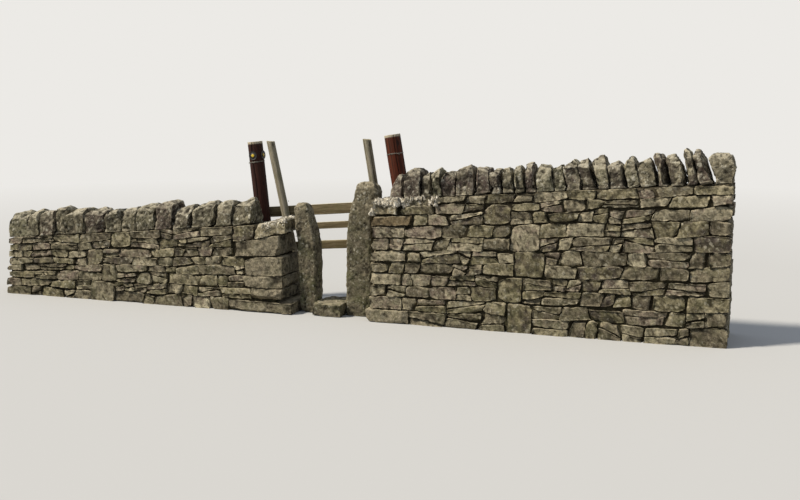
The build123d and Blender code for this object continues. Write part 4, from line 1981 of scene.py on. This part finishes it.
@dataclass
class RailNails:
    """Two round nail heads wherever a rail crosses a post or pole.

    Args:
        rails: The CAD nodes of the rails.
        timbers: The posts and poles.
        head_radius: Radius of a head.
        head_height: How far it is domed.
        outline: Radius and height of its rings, as shares of those two.
        spread: How far apart two nails are, as a share of the rail's depth.
        aside: How far each is to the side of the timber's middle.
        stray: How far each is from its place at most.
        sunk: How far the rim of the head lies in the rail.
        seed: Which random places.
    """

    rails: tuple[str, ...]
    timbers: tuple[RoundTimber, ...]
    head_radius: float = 5 * MM
    head_height: float = 1.3 * MM
    outline: Profile = ((0.9, -1.0), (1.0, 0.0), (0.95, 0.5), (0.5, 1.0), (0.1, 1.1))
    spread: float = 0.45
    aside: float = 12 * MM
    stray: float = 6 * MM
    sunk: float = 1.5 * MM
    seed: int = 3

    def build(self) -> list[Piece]:
        """Makes the piece.

        Returns:
            The one piece.
        """
        shape, faces = lathe(self.outline, self.head_radius, self.head_height, 14)
        draw = np.random.default_rng(self.seed)
        heads = []
        for rail in self.rails:
            low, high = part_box(rail)
            middle = (low + high) / 2
            for timber in self.timbers:
                x = timber.foot[0] + timber.along[0] / timber.along[2] * middle.z
                for up in (-1, 1):
                    stray = draw.uniform(-self.stray, self.stray, 2)
                    z = middle.z + up * self.spread / 2 * (high.z - low.z) + stray[1]
                    centre = np.array((x + up * self.aside + stray[0], high.y - self.sunk, z))
                    heads.append((facing(shape, centre, THROUGH_WALL), faces))
        return [settle(mesh_object("rail_nails", *joined(heads)), NAIL_STEEL, Slot.WIRE)]


@dataclass
class WayMark:
    """A round plastic way mark with a raised rim, two fixing nails and a plain dot.

    Args:
        disc: The CAD node of the disc.
        dot: The CAD node of the dot.
        post: The post that it is on.
        disc_outline: Radius and height of the disc's rings, as shares of its own.
        dot_outline: The same of the dot's.
        nail_outline: The same of a nail head's.
        web: Height of the disc's face inside the rim, as a share of its depth.
        nail_radius: Radius of a nail's head.
        nail_height: How far it stands out.
        nail_place: How far from the middle the nails are, as a share of the disc's radius.
    """

    disc: str
    dot: str
    post: RoundTimber
    disc_outline: Profile = (
        (0.3, 0.0), (0.97, 0.0), (1.0, 0.2), (1.0, 0.75), (0.985, 1.0),
        (0.94, 1.0), (0.92, 0.6), (0.56, 0.6), (0.54, 1.0), (0.1, 1.0),
    )
    dot_outline: Profile = ((0.5, -0.1), (1.0, 0.0), (1.0, 0.6), (0.96, 1.0), (0.1, 1.0))
    nail_outline: Profile = ((0.9, -1.0), (1.0, 0.0), (0.7, 0.9), (0.1, 1.1))
    web: float = 0.6
    nail_radius: float = 2.6 * MM
    nail_height: float = 1 * MM
    nail_place: float = 0.76

    def build(self) -> list[Piece]:
        """Makes the disc, its dot and its nails.

        Returns:
            The three pieces.
        """
        corners = corners_of(self.disc)
        centre = corners.mean(0)
        way = np.linalg.svd(corners - centre)[2][2]
        beyond = centre - self.post.foot
        beyond -= (beyond @ self.post.along) * self.post.along
        way *= np.sign(way @ beyond)
        depth = np.ptp((corners - centre) @ way)
        radius = float(np.linalg.norm(corners - centre, axis=1).max())
        points, faces = lathe(self.disc_outline, radius, depth, 72)
        disc = mesh_object(f"{self.disc}_moulded", facing(points, centre - way * depth / 2, way), faces)
        corners = corners_of(self.dot)
        dot_depth = np.ptp((corners - centre) @ way)
        dot_radius = float(np.linalg.norm(corners - corners.mean(0), axis=1).max())
        points, faces = lathe(self.dot_outline, dot_radius, dot_depth, 48)
        dot = mesh_object(f"{self.dot}_moulded", facing(points, centre + way * depth / 2, way), faces)
        shape, faces = lathe(self.nail_outline, self.nail_radius, self.nail_height, 12)
        face = centre + way * (self.web - 0.5) * depth
        reach = self.post.along * self.nail_place * radius
        heads = [(facing(shape, place, way), faces) for place in (face - reach, face + reach)]
        nails = mesh_object(f"{self.disc}_nails", *joined(heads))
        return [
            settle(disc, DISC_PLASTIC, Slot.DISC, self.disc),
            settle(dot, DOT_PLASTIC, Slot.DOT, self.dot),
            settle(nails, NAIL_STEEL, Slot.WIRE),
        ]


@dataclass
class WireTie:
    """Fence wire wound round a post, with its ends twisted together.

    Args:
        node: The CAD node that it stands for.
        post: The post that it goes round.
        knot_deg: Where round the post the twist is.
        wire_radius: Radius of the wire.
        turns: How many times it goes round.
        bite: How far it is pressed into the wood.
        climb: Half of how far each turn climbs.
        sway: How far it strays up and down, and its waves in a turn.
        knot_clear: How far off the post the twist is.
        knot_run: How far it runs round the post.
        knot_drop: How far it drops.
        knot_radius: How far each wire is from its middle.
        knot_twists: Half turns in it.
    """

    node: str
    post: RoundTimber
    knot_deg: float
    wire_radius: float = 1.5 * MM
    turns: int = 2
    bite: float = 0.4 * MM
    climb: float = 2.6 * MM
    sway: Pair = (1.2 * MM, 2.3)
    knot_clear: float = 3 * MM
    knot_run: float = 27.2 * MM
    knot_drop: float = 14 * MM
    knot_radius: float = 1.7 * MM
    knot_twists: int = 7

    def build(self) -> list[Piece]:
        """Makes the piece.

        Returns:
            The one piece.
        """
        height = float((corners_of(self.node).mean(0) - self.post.foot) @ self.post.along)
        reach = self.post.radius + self.wire_radius - self.bite
        angle = math.radians(self.knot_deg)
        turn = np.linspace(0, 2 * math.pi * self.turns, 90 * self.turns) + angle
        sway, waves = self.sway
        climb = np.linspace(-1, 1, len(turn)) * self.climb * self.turns + sway * np.sin(turn * waves)
        hoop = np.stack([reach * np.cos(turn), reach * np.sin(turn), height + climb], axis=1)
        shapes = [tube(self.post.world(hoop), self.wire_radius, 8)]
        share = np.linspace(0, 1, 40)[:, None]
        out = np.array((math.cos(angle), math.sin(angle), 0.0))
        middle = out * (reach + self.knot_clear) + np.cross(UP, out) * self.knot_run * share
        middle = middle + UP * (height - self.knot_drop * share)
        for phase in (0.0, math.pi):
            spin = share * self.knot_twists * math.pi + phase
            coil = self.knot_radius * (np.cos(spin) * out + np.sin(spin) * UP)
            shapes.append(tube(self.post.world(middle + coil), self.wire_radius, 8))
        piece = mesh_object(f"{self.node}_wound", *joined(shapes))
        return [settle(piece, WIRE_STEEL, Slot.WIRE, self.node)]


# The studio


@dataclass
class Studio:
    """A pale floor that fades to a pale backdrop, one soft sun, an even sky and the camera."""

    backdrop: str = "#eceae6"
    floor_colour: str = "#cfd2d6"
    floor_bounce: str = "#6f6e66"
    floor_radius: float = 60.0
    fade_from: float = 6.0
    fade_to: float = 17.0
    sky_colour: str = "#e6ebf2"
    sky_strength: float = 0.40
    sun_colour: str = "#fff3df"
    sun_strength: float = 3.6
    sun_angle_deg: float = 9.0
    sun_from: Triple = (-0.62, -0.36, 0.72)
    station: Triple = (4.099, -9.68, 2.18)
    aim: Triple = (-0.334, 0.9476, -0.1483)
    lens_mm: float = 47.8

    def floor(self) -> None:
        """Makes the floor: pale to the camera, darker where it throws light back on the stones.

        Far from the object it turns to plain backdrop colour.
        """
        turn = np.linspace(0, 2 * math.pi, 96, endpoint=False)
        points = np.stack([np.cos(turn), np.sin(turn), 0 * turn], axis=1) * self.floor_radius
        floor = mesh_object("studio_floor", points, [list(range(len(turn)))])
        made, node = started("pale_studio_floor")
        away = node("VectorMath", (node("TexCoord", output="Object"),), "Value", operation="LENGTH")
        far = node("MapRange", (away, self.fade_from, self.fade_to))
        colour = coated(node, self.floor_bounce, (self.seen(node), self.floor_colour))
        matt, plain = node("BsdfDiffuse", (colour,)), node("Emission", (self.backdrop,))
        node("OutputMaterial", (node("MixShader", (far, matt, plain)),))
        floor.data.materials.append(made)

    def seen(self, node: Node) -> Socket:
        """Tells rays that come from the camera, straight, reflected or through glass.

        Args:
            node: The call that adds a node.

        Returns:
            1 for such a ray, and 0 for any other.
        """
        rays = node("LightPath", output="Is Camera Ray")
        for other in ("Is Glossy Ray", "Is Transmission Ray"):
            rays = node("Math", (rays, node("LightPath", output=other)), operation="MAXIMUM")
        return rays

    def sky(self) -> None:
        """Makes the even sky, which shows as the backdrop to the camera and in reflections."""
        world = bpy.data.worlds.new("studio_sky")
        bpy.context.scene.world = world
        world.use_nodes = True
        world.node_tree.nodes.clear()
        node = partial(add, world.node_tree)
        light = node("Background", (self.sky_colour, self.sky_strength))
        plain = node("Background", (self.backdrop, 1.0))
        node("OutputWorld", (node("MixShader", (self.seen(node), light, plain)),))

    def sun(self) -> None:
        """Makes the sun, from the left, a little in front and high up."""
        lamp = bpy.data.lights.new("studio_sun", "SUN")
        lamp.energy = self.sun_strength
        lamp.color = linear(self.sun_colour)[:3]
        lamp.angle = math.radians(self.sun_angle_deg)
        obj = bpy.data.objects.new("studio_sun", lamp)
        obj.rotation_euler = Vector(self.sun_from).to_track_quat("Z", "Y").to_euler()
        bpy.context.scene.collection.objects.link(obj)

    def camera(self) -> None:
        """Puts the camera at the photographer's place and aims it at the stile."""
        lens = bpy.data.cameras.new("studio_camera")
        lens.lens = self.lens_mm
        obj = bpy.data.objects.new("studio_camera", lens)
        obj.location = self.station
        obj.rotation_euler = Vector(self.aim).to_track_quat("-Z", "Y").to_euler()
        bpy.context.scene.collection.objects.link(obj)
        bpy.context.scene.camera = obj

    def build(self) -> None:
        """Makes the whole studio."""
        self.floor()
        self.sky()
        self.sun()
        self.camera()
        bpy.context.scene.view_settings.view_transform = "Standard"


# The stile

QUOINS = tuple(f"left_quoin_{number}" for number in range(1, 6))
RAILS = ("top_rail", "middle_rail", "low_rail")


def walls() -> list[WallSide]:
    """The walling of both sides.

    Returns:
        The left side and the right side.
    """
    left_levels = (0.0, 0.130, 0.248, 0.375, 0.4725, 0.570, 0.680, 0.792, 0.900)
    right_levels = (0.0, 0.130, 0.245, 0.360, 0.465, 0.570, 0.680, 0.795, 0.908, 1.008, 1.090, 1.168)
    left_stones = (*QUOINS, "left_cap_stone")
    right_stones = ("right_foot_stone", "right_brown_stone", "right_cap_stone")
    return [
        WallSide(Side.LEFT, "left_wall", "left_cap_stone", left_levels, left_stones, 101),
        WallSide(Side.RIGHT, "right_wall", "right_cap_stone", right_levels, right_stones, 202),
    ]


def shaped_stones() -> list[ShapedStone]:
    """The threshold, the stoops, the wall heads' big stones and the copes.

    Returns:
        Each of them, in order.
    """
    stoop = partial(
        ShapedStone, finish=STOOP, slot=Slot.STOOP, voxel=0.010, cuts=6, deepest=0.02,
        wear=Wear(0.010, 0.09, 0.009, 0.028),
    )
    cap = partial(
        ShapedStone, slot=Slot.CAP, voxel=0.010, deepest=0.035, wear=Wear(0.02, 0.12, 0.01, 0.035)
    )
    cope = partial(
        ShapedStone, finish=COPING, slot=Slot.COPE, voxel=0.013, cuts=10, deepest=0.034,
        wear=Wear(0.016, 0.10, 0.010, 0.032), seat=0.03,
    )
    return [
        stoop("threshold_stone", seed=11),
        stoop("left_stoop", seed=12),
        stoop("right_stoop", seed=13),
        *(ShapedStone(node, QUOIN, Slot.QUOIN, seed) for seed, node in enumerate(QUOINS, 21)),
        ShapedStone("right_foot_stone", QUOIN, Slot.QUOIN, 31),
        ShapedStone("right_brown_stone", BROWN_BED, Slot.BROWN, 32),
        cap("left_cap_stone", finish=CAPPING, seed=41),
        cap("right_cap_stone", finish=CRUSTED_CAPPING, seed=42),
        *(cope(f"left_copes_{group}", seed=50 + group) for group in (1, 2, 3)),
        *(cope(f"right_copes_{group}", seed=60 + group) for group in (1, 2, 3)),
    ]


def lichen() -> list[CapLichen]:
    """The thick lichen on both caps and along the top edge of the right wall.

    Returns:
        The lichen of the left and of the right.
    """
    low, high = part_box("left_cap_stone")
    left = CapLichen(
        "left_cap_stone_lichen",
        grounds=("left_cap_stone_worn",),
        stretch=(low.x + 0.1, high.x),
        copes=high.x,
        count=90,
        largest=(0.06, 0.03, 0.026),
    )
    low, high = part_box("right_cap_stone")
    right = CapLichen(
        "right_cap_stone_lichen",
        grounds=("right_cap_stone_worn", "right_wall_path_face"),
        stretch=(low.x, high.x + 0.36),
        copes=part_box("right_copes_1")[0].x,
        count=350,
    )
    return [left, right]


def timber() -> list[RoundTimber | SawnRail | RailNails | WayMark | WireTie]:
    """The posts, the poles, the rails and what is fixed to them.

    Returns:
        Each of them, in order.
    """
    left_post = RoundTimber("left_post", LEFT_POST_TIMBER, Slot.POST, 0.0, 4, 71, 26 * MM)
    right_post = RoundTimber("right_post", RIGHT_POST_TIMBER, Slot.POST, 0.0, 4, 72, 26 * MM)
    left_pole = RoundTimber("left_pole", POLE_TIMBER, Slot.POLE, 14.0, 3, 73)
    right_pole = RoundTimber("right_pole", POLE_TIMBER, Slot.POLE, 14.0, 3, 74)
    uprights = (left_post, right_post, left_pole, right_pole)
    return [
        *uprights,
        *(SawnRail(rail, seed) for seed, rail in enumerate(RAILS, 81)),
        RailNails(RAILS, uprights),
        WayMark("front_way_mark", "front_way_mark_dot", left_post),
        WayMark("side_way_mark", "side_way_mark_dot", left_post),
        WireTie("left_post_wire", left_post, 205.0),
        WireTie("right_post_wire", right_post, 300.0),
    ]


def main() -> None:
    """Builds the sub-assemblies in order, then the studio."""
    logging.basicConfig(level=logging.INFO, format="%(name)s %(message)s")
    for assembly in (*walls(), *shaped_stones(), *lichen(), *timber()):
        for piece in assembly.build():
            mesh = piece.data
            LOG.info("%s: %d faces, %s", piece.name, len(mesh.polygons), mesh.materials[0].name)
    Studio().build()


if __name__ == "__main__":
    main()
